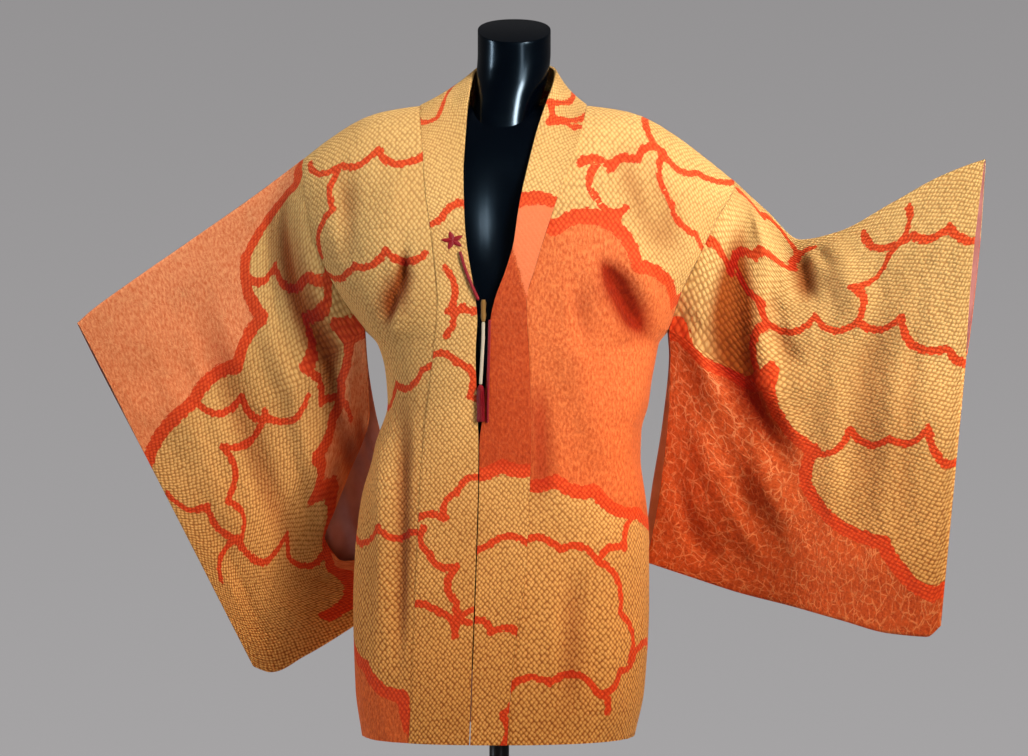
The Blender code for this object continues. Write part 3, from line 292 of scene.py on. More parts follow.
# Main folds of the sleeves, in shares of reach and drop, with the half width in metres
RIGHT_SLEEVE_FOLDS = table(
    "reach_from drop_from reach_to drop_to out width",
    (0.10, 0.06, 0.22, 0.80, -0.0120, 0.022),
    (0.30, 0.08, 0.42, 0.90, 0.0080, 0.024),
    (0.55, 0.10, 0.60, 0.86, -0.0060, 0.022),
    (0.78, 0.12, 0.80, 0.80, 0.0050, 0.022),
    (0.02, 0.42, 0.20, 0.62, 0.0090, 0.020),
)
LEFT_SLEEVE_FOLDS = table(
    "reach_from drop_from reach_to drop_to out width",
    (0.04, 0.10, 0.30, 0.78, -0.0140, 0.022),
    (0.02, 0.36, 0.46, 0.84, 0.0110, 0.022),
    (0.10, 0.06, 0.24, 0.26, 0.0080, 0.016),
    (0.27, 0.06, 0.34, 0.22, -0.0100, 0.015),
    (0.38, 0.02, 0.62, 0.30, 0.0070, 0.022),
    (0.62, 0.08, 0.70, 0.84, -0.0050, 0.026),
)

# Dress form
FORM = table(
    "height half_width front back",
    (0.690, 0.146, 0.088, 0.104),
    (0.700, 0.157, 0.097, 0.116),
    (0.760, 0.166, 0.103, 0.127),
    (0.840, 0.158, 0.103, 0.120),
    (0.920, 0.137, 0.097, 0.104),
    (0.985, 0.123, 0.093, 0.091),
    (1.050, 0.126, 0.106, 0.093),
    (1.115, 0.142, 0.124, 0.104),
    (1.200, 0.154, 0.124, 0.104),
    (1.280, 0.168, 0.124, 0.104),
    (1.330, 0.169, 0.124, 0.104),
    (1.362, 0.160, 0.124, 0.104),
    (1.400, 0.138, 0.124, 0.104),
)
FORM_ROWS_BELOW = 12

# Neck block: rings from its foot to its top
NECK = table(
    "height middle half_width front back squareness",
    (1.340, 0.001, 0.0470, 0.0730, 0.0430, 3.0),
    (1.370, 0.002, 0.0440, 0.0690, 0.0420, 2.9),
    (1.400, 0.008, 0.0430, 0.0620, 0.0420, 2.6),
    (1.435, 0.016, 0.0455, 0.0560, 0.0430, 2.3),
    (1.470, 0.019, 0.0463, 0.0540, 0.0450, 2.2),
    (1.500, 0.019, 0.0463, 0.0550, 0.0450, 2.2),
)

# Stand's foot: hub above the disc
HUB_TOP = 0.036

# Tie of the jacket: a strand from under the leaf to a bound knot, and two tails that hang from it.
# The routes are places on X and Z in front of the collar.
TIE_RADIUS = 0.0022
TAIL_RADIUS = 0.0018
TIE_CLEAR = TIE_RADIUS + 0.0006
TAIL_CLEAR = TIE_RADIUS + 0.0001
STRAND_ROUTE = table(
    "x z", (-0.0475, 1.208), (-0.0430, 1.192), (-0.0355, 1.172), (-0.0285, 1.156), (-0.0245, 1.148)
)
KNOT_X = -0.0188
KNOT_FOOT = 1.1215
KNOT_TOP = 1.1490
CREAM_ROUTE = table("x z", (-0.0188, 1.1212), (-0.0192, 1.100), (-0.0205, 1.075), (-0.0222, 1.0445))
CRIMSON_ROUTE = table(
    "x z", (-0.0110, 1.124), (-0.0116, 1.100), (-0.0124, 1.070), (-0.0132, 1.030), (-0.0138, 0.9975)
)
TASSEL_LENGTH = 0.046
LEAF_POINTS = 5
LEAF_MIDDLE = (-0.0565, 1.2215)
LEAF_TIP = 0.0150
LEAF_NOTCH = 0.0062
LEAF_TURN = 0.25
LEAF_FLATNESS = 0.80
LEAF_NEAR = 0.0004
LEAF_FAR = 0.0018


# Settling rounds, points on a lobe, a distance past any piece, waves in a ripple, and how much wider than a
# fold its painted shade reaches
SETTLE = 14
LOBE_STEPS = 14
FAR = 9.0
RIPPLES = 5
SHADE_SPREAD = 1.6

# Widths that flat coordinates run across, and the collar's turned layer: the heights where it starts at
# the seam and at the free edge, its step and rolled edge, the fold value that marks where the turned orange
# shows, and the painted shade under the fold. The lining's gap lies between it and the sleeve.
PANEL_WIDTH = 0.24
COLLAR_WIDTH = 0.075
TURN_LINE_SEAM = 1.150
TURN_LINE_EDGE = 1.209
TURN_STEP = 0.0013
TURN_ROLL = 0.0035
TURNED_LAYER_MARK = 0.040
UNDER_SHADE = 0.005
LINING_GAP = 0.0031

# Soft waves: height and length
PANEL_WAVE = (0.0016, 0.110)
PANEL_PUCKER = (0.00035, 0.020)
SLEEVE_WAVE = (0.0016, 0.120)
COLLAR_WAVE = (0.0004, 0.090)
LINING_WAVE = (0.0007, 0.040)

# Sharper creases, beside the main folds of the solids
FRONT_CREASES = table(
    "x_from z_from x_to z_to out width",
    (-0.110, 1.235, -0.142, 1.105, -0.0060, 0.007),
    (-0.132, 1.230, -0.126, 1.090, 0.0050, 0.008),
    (-0.212, 1.310, -0.200, 1.200, 0.0036, 0.010),
    (-0.160, 1.010, -0.156, 0.700, -0.0032, 0.008),
    (-0.105, 0.860, -0.112, 0.620, 0.0030, 0.009),
    (0.132, 1.088, 0.168, 1.096, -0.0026, 0.005),
    (0.116, 1.215, 0.192, 1.092, -0.0062, 0.008),
    (0.150, 1.222, 0.200, 1.130, 0.0046, 0.009),
    (0.070, 1.190, 0.110, 1.040, 0.0036, 0.010),
    (0.158, 1.060, 0.150, 0.900, 0.0032, 0.010),
    (0.060, 0.840, 0.066, 0.640, 0.0026, 0.012),
    (0.120, 0.760, 0.118, 0.610, -0.0030, 0.010),
    (0.168, 1.340, 0.204, 1.230, 0.0030, 0.011),
)
BACK_CREASES = table(
    "x_from z_from x_to z_to out width",
    (-0.030, 1.230, -0.034, 1.000, -0.0026, 0.010),
    (-0.145, 1.200, -0.110, 1.020, -0.0034, 0.010),
    (-0.060, 0.900, -0.066, 0.640, 0.0028, 0.011),
    (0.030, 1.210, 0.038, 0.960, -0.0026, 0.011),
    (0.140, 1.210, 0.110, 1.030, -0.0036, 0.010),
    (0.080, 0.920, 0.074, 0.640, 0.0030, 0.012),
    (0.165, 1.000, 0.160, 0.800, 0.0024, 0.009),
)
RIGHT_SLEEVE_CREASES = table(
    "reach_from drop_from reach_to drop_to out width",
    (0.06, 0.10, 0.14, 0.42, 0.0040, 0.010),
    (0.16, 0.04, 0.30, 0.36, -0.0036, 0.012),
    (0.06, 0.46, 0.14, 0.94, -0.0060, 0.014),
    (0.36, 0.20, 0.50, 0.92, -0.0036, 0.014),
    (0.66, 0.12, 0.70, 0.70, 0.0030, 0.014),
    (0.86, 0.50, 0.88, 0.94, -0.0028, 0.012),
    (0.24, 0.52, 0.32, 0.94, 0.0040, 0.013),
)
LEFT_SLEEVE_CREASES = table(
    "reach_from drop_from reach_to drop_to out width",
    (0.20, 0.16, 0.26, 0.30, -0.0060, 0.011),
    (0.26, 0.30, 0.36, 0.38, -0.0052, 0.011),
    (0.34, 0.04, 0.44, 0.12, -0.0046, 0.010),
    (0.12, 0.28, 0.40, 0.68, -0.0060, 0.012),
    (0.20, 0.30, 0.46, 0.62, 0.0044, 0.011),
    (0.50, 0.30, 0.58, 0.84, 0.0032, 0.016),
    (0.80, 0.20, 0.84, 0.90, -0.0030, 0.014),
    (0.05, 0.55, 0.36, 0.94, 0.0040, 0.014),
    (0.02, 0.70, 0.20, 0.96, -0.0050, 0.014),
)

# The right sleeve's front layer parts more at its opening than the solid does
OPENING_PARTED = table(
    "drop parted",
    (0.00, 0.00),
    (0.12, 0.00),
    (0.32, 0.03),
    (0.52, 0.32),
    (0.62, 0.44),
    (0.72, 0.42),
    (0.80, 0.30),
    (0.90, 0.10),
    (1.00, 0.00),
)

# Dyeing, painted light and painted shade: sizes in metres and, for folds and the edges of lines and areas, in
# millimetres
DOT_PITCH = 0.0046
DOT_UNEVEN = 0.30
DOT_RELIEF = 0.0008
DOT_CORE = 0.12
DOT_EDGE = 0.60
CREPE_RELIEF = 0.0003
LEAF_PITCH = 0.044
LEAF_RAYS = 9.0
CRACKS = ((0.017, 0.3), (0.0095, 1.4))
CRACK_HALF = 0.0009
EDGE_JITTER = 1.2
EDGE_WANDER = 1.5
EDGE_SOFT = 0.5
LINE_HALF = 4.5
BORDER_HALF = 8.5
VEIN_SHOWS = 0.55
VEIN_DARK = (0.34, 0.60)
RAY_EDGE = (0.050, 0.012)
# Painted light: heights between which the cloth turns from its darker foot tint to its paler top tint, and
# the share of the dots mixed toward their middle colour at the top
PAINTED_LIGHT_FROM = 0.62
PAINTED_LIGHT_TO = 1.25
DOT_CALM = 0.45
# Painted shade in folds: the fold depths in millimetres where it starts and where it is full, then the fold
# values that mark the collar's turned layer
FOLD_SHADE_FROM = -0.5
FOLD_SHADE_TO = -11.0
TURNED_MARK = (30.0, 35.0)

# Grain of the crepe: scales of its slow wear, its fine grain, its threads and its edges' wander, how much
# the threads are stretched and disturb a dot, and how much of dots and threads shows in orange areas
WEAR_SCALE = 7.0
GRAIN_SCALE = 620.0
CREPE_SCALE = 330.0
WANDER_SCALE = 38.0
CREPE_STRETCH = (1.0, 0.45, 1.0)
CREPE_IN_DOT = 0.34
DOTS_LOST_IN_AREA = 0.7
CREPE_IN_AREA = 0.4

# Cut sizes of the cloth pieces: width and length
BODY_CUT = (0.21, 1.65)
GUSSET_CUT = (0.054, 0.53)
COLLAR_CUT = (0.060, 2.00)
SLEEVE_CUT = (SLEEVE_WIDTH, 2 * SLEEVE_LENGTH)
LINING_CUT = (0.13, 0.315)
LINING_THICK = 0.0008

# Dress form: points down the skin and round it
FORM_LOW_STEPS = 70
FORM_HIGH_STEPS = 46
FORM_AROUND = 72
NECK_STEPS = 34
NECK_AROUND = 120

# Heights between which the neck's slant sets in, how far its cutter reaches past it, and softened edges
NECK_SLANT = (1.40, 1.50)
SOCKET_REACH = 0.02
NECK_BEVEL = 0.0012
FOOT_BEVEL = 0.0008
POLE_BEVEL = 0.0006

# The first rows of the form's skin, close together round its open foot
RIM_ROW = 0.35
RIM_STEPS = 4
FOOT_PROFILE = (
    (0.150, 0.000),
    (0.155, 0.003),
    (0.155, 0.008),
    (0.149, 0.012),
    (0.032, 0.016),
    (0.022, 0.020),
    (0.022, 0.034),
    (0.020, 0.036),
)

# Tie: radius and height along the knot, then along the tassel's head below its top
KNOT_PROFILE = (
    (0.0020, 1.1218),
    (0.0032, 1.1238),
    (0.0034, 1.1262),
    (0.0030, 1.1310),
    (0.0029, 1.1370),
    (0.0032, 1.1425),
    (0.0033, 1.1455),
    (0.0024, 1.1486),
)
KNOT_WRAP = 0.0013
WRAP_RELIEF = 0.14
HEAD_PROFILE = (
    (0.0018, -0.0002), (0.0036, -0.0016), (0.0043, -0.0045), (0.0041, -0.0070), (0.0034, -0.0088),
)
HEAD_WRAP = 0.0012
HEAD_DEPTH = 0.0088
TASSEL_STRANDS = 170
TASSEL_ROOT = 0.0036
STRAND_STEPS = 7
THREAD_RADIUS = 0.00028
GOLDEN_ANGLE = math.pi * (3 - math.sqrt(5))

# The strands' seed, least and most flare, shortest share, and sway with its turn along a strand
STRAND_SEED = 7
STRAND_FLARE = (1.15, 1.5)
STRAND_SHORTEST = 0.92
STRAND_SWAY = 0.0005
STRAND_TURN = 4.5

# Leaf: steps out from its middle and round it, the thickness of its foot, its first ring, how sharp its
# points and how round its lobes are, and the depth of the grooves between them
LEAF_STEPS = 9
LEAF_AROUND = 150
LEAF_BASE = 0.0009
LEAF_START = 0.02
LEAF_SHARPNESS = 1.35
LEAF_ROUNDNESS = 2.2
LEAF_GROOVE = 0.55

# Floor, and the backdrop: how far from level its greys lie, and its share of light on the pieces
FLOOR_RADIUS = 4.4
FLOOR_DEPTH = 0.010
FLOOR_DROP = 0.0005
BACKDROP_REACH = 0.12
AMBIENT = 0.20

# Light: name, place, aim, width, height, power, spread in degrees, colour
SOFTBOXES = (
    ("key", (2.3, -3.2, 3.2), (0.0, 0.0, 1.45), 1.1, 1.1, 7.8, 30.0, (1.0, 0.955, 0.90)),
    ("sleeve_beam", (2.6, -3.4, 1.9), (0.47, -0.05, 1.13), 0.5, 0.5, 2.2, 17.0, (1.0, 0.97, 0.93)),
    ("streak", (1.5, -3.7, 1.9), (0.02, 0.0, 1.2), 0.5, 1.9, 8.0, 120.0, (0.90, 0.96, 1.0)),
    ("side_strip", (-3.2, -0.7, 1.6), (0.0, 0.0, 1.2), 0.4, 1.8, 20.0, 120.0, (0.86, 0.94, 1.0)),
    ("top", (0.1, -0.9, 4.0), (0.0, 0.0, 1.2), 1.6, 1.2, 14.0, 120.0, (1.0, 0.98, 0.96)),
    ("back_left", (0.8, 3.7, 2.8), (0.0, 0.0, 1.0), 1.4, 1.6, 70.0, 140.0, (1.0, 0.97, 0.94)),
    ("back_right", (-0.8, 3.7, 2.2), (0.0, 0.0, 1.0), 1.4, 1.6, 55.0, 140.0, (0.97, 0.98, 1.0)),
)

# The other lamps aren't seen in the form's gloss
LAMPS_IN_GLOSS = ("key", "streak", "side_strip")

def linear_channel(value):
    share = value / 255
    return share / 12.92 if share <= 0.04045 else ((share + 0.055) / 1.055) ** 2.4


def srgb(red, green, blue):
    """A colour of eight bits a channel as linear values."""
    return tuple(linear_channel(value) for value in (red, green, blue)) + (1.0,)


def grey(level):
    return (level, level, level, 1)


class Finish:
    """A material and short calls for its nodes."""

    def __init__(self, name, **constants):
        self.material = bpy.data.materials.new(name)
        self.material.use_nodes = True
        self.tree = self.material.node_tree
        self.shader = self.tree.nodes["Principled BSDF"]
        for socket, value in constants.items():
            self.shader.inputs[socket.replace("_", " ")].default_value = value

    def node(self, kind, inputs=None, **settings):
        made = self.tree.nodes.new(kind)
        for name, value in settings.items():
            setattr(made, name, value)
        for socket, value in (inputs or {}).items():
            if isinstance(value, bpy.types.NodeSocket):
                self.tree.links.new(value, made.inputs[socket])
            else:
                made.inputs[socket].default_value = value
        return made

    def calc(self, operation, first, second=0.0, third=0.0):
        return self.node("ShaderNodeMath", {0: first, 1: second, 2: third}, operation=operation).outputs[0]

    def mix(self, share, first, second, blend="MIX"):
        made = self.node("ShaderNodeMix", data_type="RGBA", blend_type=blend)
        for index, value in ((0, share), (6, first), (7, second)):
            if isinstance(value, bpy.types.NodeSocket):
                self.tree.links.new(value, made.inputs[index])
            else:
                made.inputs[index].default_value = value
        return made.outputs[2]

    def multiply(self, share, first, second):
        return self.mix(share, first, second, "MULTIPLY")

    def ramp(self, value, *stops):
        """A colour ramp from pairs of place and colour."""
        made = self.node("ShaderNodeValToRGB", {0: value})
        elements = made.color_ramp.elements
        while len(elements) < len(stops):
            elements.new(0.5)
        for element, (place, colour) in zip(elements, stops):
            element.position = place
            element.color = colour
        return made.outputs[0]

    def fade(self, value, start, end):
        """0 at start and 1 at end, which may lie either way round."""
        inputs = {"Value": value, "From Min": start, "From Max": end}
        return self.node("ShaderNodeMapRange", inputs, interpolation_type="SMOOTHSTEP").outputs[0]

    def noise(self, vector, scale, detail=3.0, roughness=0.5, output="Fac", dimensions="3D"):
        inputs = {"Vector": vector, "Scale": scale, "Detail": detail, "Roughness": roughness}
        return self.node("ShaderNodeTexNoise", inputs, noise_dimensions=dimensions).outputs[output]

    def cells(self, vector, scale, randomness, feature="F1"):
        inputs = {"Vector": vector, "Scale": scale, "Randomness": randomness}
        return self.node("ShaderNodeTexVoronoi", inputs, voronoi_dimensions="2D", feature=feature)

    def veins(self, flat, fans, cracks):
        """Thin light lines: fans that spread from uneven centres, over cracks in two sizes."""
        scaling = self.node("ShaderNodeVectorMath", {0: flat, "Scale": 1 / LEAF_PITCH}, operation="SCALE")
        scaled = scaling.outputs[0]
        centres = self.cells(scaled, 1.0, 1.0)
        offset = self.node(
            "ShaderNodeVectorMath", {0: scaled, 1: centres.outputs["Position"]}, operation="SUBTRACT"
        )
        split = self.node("ShaderNodeSeparateXYZ", {0: offset.outputs[0]})
        angle = self.calc("ARCTAN2", split.outputs[1], split.outputs[0])
        wobble = self.calc("MULTIPLY", self.noise(flat, 110.0, 2.0), 5.0)
        rays = self.calc("ABSOLUTE", self.calc("SINE", self.calc("MULTIPLY_ADD", angle, LEAF_RAYS, wobble)))
        from_ray = self.calc("MULTIPLY", rays, centres.outputs["Distance"])
        lines = self.calc("MULTIPLY", self.fade(from_ray, *RAY_EDGE), fans)
        drift = self.noise(flat, 60.0, 2.0, output="Color")
        moved = self.node("ShaderNodeVectorMath", {0: drift, "Scale": 0.010}, operation="SCALE").outputs[0]
        warped = self.node("ShaderNodeVectorMath", {0: flat, 1: moved}, operation="ADD").outputs[0]
        for pitch, turn in CRACKS:
            inputs = {"Vector": warped, "Rotation": (0, 0, turn), "Scale": (1.0, 0.6, 1.0)}
            turned = self.node("ShaderNodeMapping", inputs).outputs[0]
            edge = self.cells(turned, 1 / pitch, 1.0, "DISTANCE_TO_EDGE").outputs["Distance"]
            crack = self.calc(
                "MULTIPLY", self.fade(edge, CRACK_HALF / pitch, 0.25 * CRACK_HALF / pitch), cracks
            )
            lines = self.calc("MAXIMUM", lines, crack)
        return self.calc("MULTIPLY", lines, self.fade(self.noise(flat, 90.0, 3.0), *VEIN_DARK))

    def attribute(self, name):
        return self.node("ShaderNodeAttribute", attribute_name=name).outputs["Fac"]

    def flat(self, turn=0.0, stretch=(1.0, 1.0, 1.0)):
        """The cloth's flat coordinates in metres, turned in the plane."""
        uv = self.node("ShaderNodeUVMap").outputs[0]
        inputs = {"Vector": uv, "Rotation": (0, 0, turn), "Scale": stretch}
        return self.node("ShaderNodeMapping", inputs).outputs[0]

    def place(self):
        return self.node("ShaderNodeTexCoord").outputs["Object"]

    def bump(self, height, depth, strength=1.0, below=None):
        inputs = {"Height": height, "Distance": depth, "Strength": strength}
        if below is not None:
            inputs["Normal"] = below
        return self.node("ShaderNodeBump", inputs).outputs[0]

    def feed(self, socket, value):
        self.tree.links.new(value, self.shader.inputs[socket])


def crepe_finish(name, dots_turn, stretch, orange, veins):
    """Tie-dyed crepe: a lattice of tied dots, vermilion cloud lines, and orange areas, with painted light
    that turns it paler toward the top and painted shade in its folds.

    Orange is the area's dark and light colour, and veins is how strongly its fans and its cracks show.
    """
    finish = Finish(
        name,
        Sheen_Weight=0.10,
        Sheen_Roughness=0.5,
        Sheen_Tint=srgb(255, 200, 140),
        Specular_IOR_Level=0.16,
    )
    flat = finish.flat()
    dots = finish.cells(finish.flat(dots_turn, stretch), 1 / DOT_PITCH, DOT_UNEVEN)
    chance = finish.node("ShaderNodeSeparateColor", {0: dots.outputs["Color"]}).outputs[0]
    broad = finish.noise(flat, WEAR_SCALE, 3.0)
    grain = finish.noise(flat, GRAIN_SCALE, 3.0, 0.6)
    crepe = finish.noise(finish.flat(stretch=CREPE_STRETCH), CREPE_SCALE, 3.0, 0.65)
    disturbed = finish.calc("SUBTRACT", crepe, 0.5)
    from_dot = finish.calc("MULTIPLY_ADD", disturbed, CREPE_IN_DOT, dots.outputs["Distance"])

    gold = finish.ramp(from_dot, *DOT_STOPS)
    worn = finish.ramp(broad, *WORN_STOPS)
    height = finish.node("ShaderNodeSeparateXYZ", {0: finish.place()}).outputs[2]
    high_up = finish.fade(height, PAINTED_LIGHT_FROM, PAINTED_LIGHT_TO)
    gold = finish.mix(finish.calc("MULTIPLY", high_up, DOT_CALM), gold, DOT_MIDDLE)
    gold = finish.multiply(1.0, gold, worn)

    jitter = finish.calc("MULTIPLY_ADD", chance, 2 * EDGE_JITTER, -EDGE_JITTER)
    wander = finish.calc("MULTIPLY_ADD", finish.noise(flat, WANDER_SCALE, 2.0), 2 * EDGE_WANDER, -EDGE_WANDER)
    uneven = finish.calc("ADD", jitter, wander)
    line = finish.calc("ADD", finish.attribute("line"), uneven)
    area = finish.calc("ADD", finish.attribute("area"), uneven)
    on_line = finish.fade(line, LINE_HALF + EDGE_SOFT, LINE_HALF - EDGE_SOFT)
    in_area = finish.fade(area, EDGE_SOFT, -EDGE_SOFT)
    from_border = finish.calc("ABSOLUTE", area)
    on_border = finish.fade(from_border, BORDER_HALF + EDGE_SOFT, BORDER_HALF - EDGE_SOFT)

    veined = finish.veins(flat, *veins)
    ground = finish.ramp(crepe, (0.34, orange[0]), (0.66, orange[1]))
    ground = finish.multiply(1.0, ground, worn)
    ground = finish.mix(finish.fade(finish.attribute("fold"), *TURNED_MARK), ground, TURNED_ORANGE)
    woven = finish.mix(finish.calc("MULTIPLY", veined, VEIN_SHOWS), ground, VEIN_COLOUR)
    red = finish.ramp(from_dot, *RED_STOPS)
    base = finish.mix(in_area, gold, woven)
    base = finish.mix(on_line, base, red)
    base = finish.mix(on_border, base, red)
    # Painted light: the colour is darker and warmer toward the foot and paler and cooler toward the top
    painted_light_tint = finish.mix(high_up, PAINTED_SHADE_TINT, PAINTED_LIGHT_TINT)
    base = finish.multiply(1.0, base, painted_light_tint)

    # Painted shade in folds: the farther a fold sinks, the more the colour is multiplied toward a dark gold,
    # or a dark red in orange areas and on lines
    depth = finish.fade(finish.attribute("fold"), FOLD_SHADE_FROM, FOLD_SHADE_TO)
    reddened = finish.calc("MAXIMUM", in_area, finish.calc("MAXIMUM", on_line, on_border))
    painted_shade = finish.mix(reddened, GOLD_PAINTED_SHADE, RED_PAINTED_SHADE)
    finish.feed("Base Color", finish.multiply(depth, base, painted_shade))

    dot_height = finish.fade(from_dot, DOT_EDGE, DOT_CORE)
    dots_shown = finish.calc("MULTIPLY_ADD", in_area, -DOTS_LOST_IN_AREA, 1.0)
    tied = finish.calc("MULTIPLY", dot_height, dots_shown)
    threads = finish.calc("ADD", veined, crepe)
    threads_shown = finish.calc("MULTIPLY", in_area, CREPE_IN_AREA)
    relief = finish.calc("MULTIPLY_ADD", threads, threads_shown, tied)
    finish.feed("Normal", finish.bump(grain, CREPE_RELIEF, below=finish.bump(relief, DOT_RELIEF)))
    finish.feed("Roughness", finish.ramp(grain, (0.2, grey(0.66)), (0.8, grey(0.86))))
    return finish.material


def lining_finish():
    """Smooth lining silk with a faint diagonal weave."""
    finish = Finish("pink_lining", Sheen_Weight=0.35, Sheen_Roughness=0.35, Specular_IOR_Level=0.4)
    flat = finish.flat(turn=0.8)
    threads = finish.node(
        "ShaderNodeTexWave", {"Vector": flat, "Scale": 420.0, "Distortion": 0.6, "Detail": 1.0}
    )
    weave = threads.outputs["Fac"]
    soft = finish.noise(flat, 25.0, 3.0)
    finish.feed("Base Color", finish.ramp(soft, *LINING_STOPS))
    finish.feed("Roughness", finish.ramp(weave, (0.0, grey(0.42)), (1.0, grey(0.55))))
    finish.feed("Normal", finish.bump(weave, 0.00012, 0.6))
    return finish.material


def silk_finish(name, dark, light, scale=900.0):
    """Lustrous silk thread, streaked along the cord."""
    finish = Finish(name, Sheen_Weight=0.06, Sheen_Roughness=0.3, Specular_IOR_Level=0.35)
    flat = finish.flat(stretch=(1.0, 0.12, 1.0))
    threads = finish.noise(finish.place(), scale, 3.0, 0.6)
    streaks = finish.noise(flat, 24.0, 2.0)
    finish.feed("Base Color", finish.mix(streaks, dark, light))
    finish.feed("Roughness", finish.ramp(threads, (0.2, grey(0.38)), (0.8, grey(0.60))))
    finish.feed("Normal", finish.bump(threads, 0.0002, 0.7))
    return finish.material


def gloss_finish():
    """High gloss moulded skin of the form, very slightly uneven, with faint handling marks."""
    finish = Finish("black_gloss", Specular_IOR_Level=0.26, Coat_Weight=0.2, Coat_Roughness=0.16)
    finish.shader.inputs["Specular Tint"].default_value = (0.42, 0.72, 1.0, 1.0)
    place = finish.place()
    smear = finish.noise(place, 14.0, 4.0, 0.6)
    grain = finish.noise(place, 260.0, 2.0)
    finish.feed("Base Color", finish.mix(smear, *GLOSS_BLACK))
    finish.feed("Roughness", finish.ramp(smear, (0.3, grey(0.20)), (0.75, grey(0.28))))
    finish.feed("Normal", finish.bump(grain, 0.00003, 0.5, below=finish.bump(smear, 0.0006, 0.35)))
    return finish.material


def paint_finish():
    """Satin black powder coat with a fine orange-peel grain."""
    finish = Finish("black_paint", Metallic=0.0, Specular_IOR_Level=0.5)
    place = finish.place()
    grain = finish.noise(place, 700.0, 2.0)
    rubbed = finish.noise(place, 30.0, 4.0)
    finish.feed("Base Color", finish.mix(rubbed, *PAINT_BLACK))
    finish.feed("Roughness", finish.ramp(rubbed, (0.3, grey(0.32)), (0.8, grey(0.50))))
    finish.feed("Normal", finish.bump(grain, 0.00008, 0.8))
    return finish.material


def floor_finish():
    finish = Finish("pale_floor", Specular_IOR_Level=0.2)
    soft = finish.noise(finish.place(), 3.0, 3.0)
    finish.feed("Base Color", finish.ramp(soft, *FLOOR_STOPS))
    finish.feed("Roughness", finish.ramp(soft, (0.3, grey(0.7)), (0.7, grey(0.85))))
    return finish.material
DOT_LIGHT = srgb(242, 198, 136)
DOT_MIDDLE = srgb(232, 178, 112)
DOT_SHADE = srgb(202, 138, 78)
DOT_GAP = srgb(152, 90, 44)
WORN_DARK = (0.84, 0.78, 0.70, 1.0)
WORN_LIGHT = (1.0, 0.98, 0.94, 1.0)
PLAIN_ORANGE = (srgb(192, 78, 34), srgb(238, 126, 72))
PALE_ORANGE = (srgb(222, 104, 62), srgb(250, 160, 112))
DEEP_ORANGE = (srgb(184, 66, 28), srgb(228, 104, 52))
TURNED_ORANGE = srgb(224, 112, 70)
VEIN_COLOUR = srgb(250, 172, 118)
RED_LIGHT = srgb(232, 84, 38)
RED_DARK = srgb(196, 50, 18)
# Painted shade in folds, for gold cloth and for orange or red cloth
GOLD_PAINTED_SHADE = srgb(168, 104, 62)
RED_PAINTED_SHADE = srgb(172, 84, 40)
# Painted light: tints for the cloth's foot, darker and warmer, and for its top, paler and cooler
PAINTED_SHADE_TINT = (1.0, 0.78, 0.48, 1.0)
PAINTED_LIGHT_TINT = (0.88, 1.0, 1.0, 1.0)
DOT_STOPS = ((0.08, DOT_LIGHT), (0.30, DOT_MIDDLE), (0.46, DOT_SHADE), (0.62, DOT_GAP))
WORN_STOPS = ((0.32, WORN_DARK), (0.68, WORN_LIGHT))
RED_STOPS = ((0.10, RED_LIGHT), (0.62, RED_DARK))
LINING_STOPS = ((0.3, srgb(170, 104, 98)), (0.7, srgb(202, 138, 130)))
GLOSS_BLACK = (srgb(0, 1, 4), srgb(1, 4, 10))
PAINT_BLACK = (srgb(12, 12, 14), srgb(30, 30, 33))
FLOOR_STOPS = ((0.3, srgb(188, 187, 186)), (0.7, srgb(197, 196, 195)))
CRIMSON = (srgb(88, 4, 14), srgb(160, 14, 30))
CREAM = (srgb(150, 132, 112), srgb(214, 200, 176))
BOUND_GOLD = (srgb(96, 62, 22), srgb(164, 122, 60))
BACKDROP_LOW = srgb(166, 164, 165)
BACKDROP_HIGH = srgb(148, 146, 147)

# Crepes: name, turn and stretch of the dots, orange, and how strong their fans and cracks are
CREPES = (
    ("body_gold_crepe", 0.78, (1.0, 0.86, 1.0), PLAIN_ORANGE, (0.0, 0.12)),
    ("right_sleeve_gold_crepe", 0.25, (0.80, 1.15, 1.0), PALE_ORANGE, (1.0, 0.30)),
    ("left_sleeve_gold_crepe", -0.45, (0.86, 1.10, 1.0), DEEP_ORANGE, (0.55, 0.80)),
    ("collar_crepe", 0.70, (1.15, 0.95, 1.0), DEEP_ORANGE, (0.0, 0.10)),
)

camera_data = bpy.data.cameras.new("camera")
camera_data.sensor_width = SENSOR
camera_data.lens = SENSOR / (PHOTO_WIDTH * PIXEL) * CAMERA_RUN
camera = bpy.data.objects.new("camera", camera_data)
camera.location = CAMERA_PLACE
camera.rotation_euler = (math.pi / 2, 0, 0)
bpy.context.scene.collection.objects.link(camera)
bpy.context.scene.camera = camera
bpy.context.scene.view_settings.view_transform = "Standard"


def smooth(rows, column, key, at):
    """Smooth curves through a table's rows, which never run past them, at one place or many."""
    xs, ys = rows[key], rows[column]
    steps = np.diff(xs)
    slopes = np.diff(ys) / steps
    before, after = slopes[:-1], slopes[1:]
    same_way = before * after > 0
    total = np.where(same_way, before + after, 1.0)
    inner_lean = np.where(same_way, 2 * before * after / total, 0.0)
    lean = np.concatenate([slopes[:1], inner_lean, slopes[-1:]])
    at = np.clip(np.asarray(at, float), xs[0], xs[-1])
    i = np.clip(np.searchsorted(xs, at, side="right") - 1, 0, len(steps) - 1)
    t = (at - xs[i]) / steps[i]
    bend = steps[i] * (lean[i] * (1 - t) ** 2 * t - lean[i + 1] * t * t * (1 - t))
    return ys[i] + (ys[i + 1] - ys[i]) * (3 * t * t - 2 * t**3) + bend


def ease(value, start, end):
    """0 before start, 1 after end, and a soft step between."""
    t = np.clip((np.asarray(value, float) - start) / (end - start), 0.0, 1.0)
    return t * t * (3 - 2 * t)


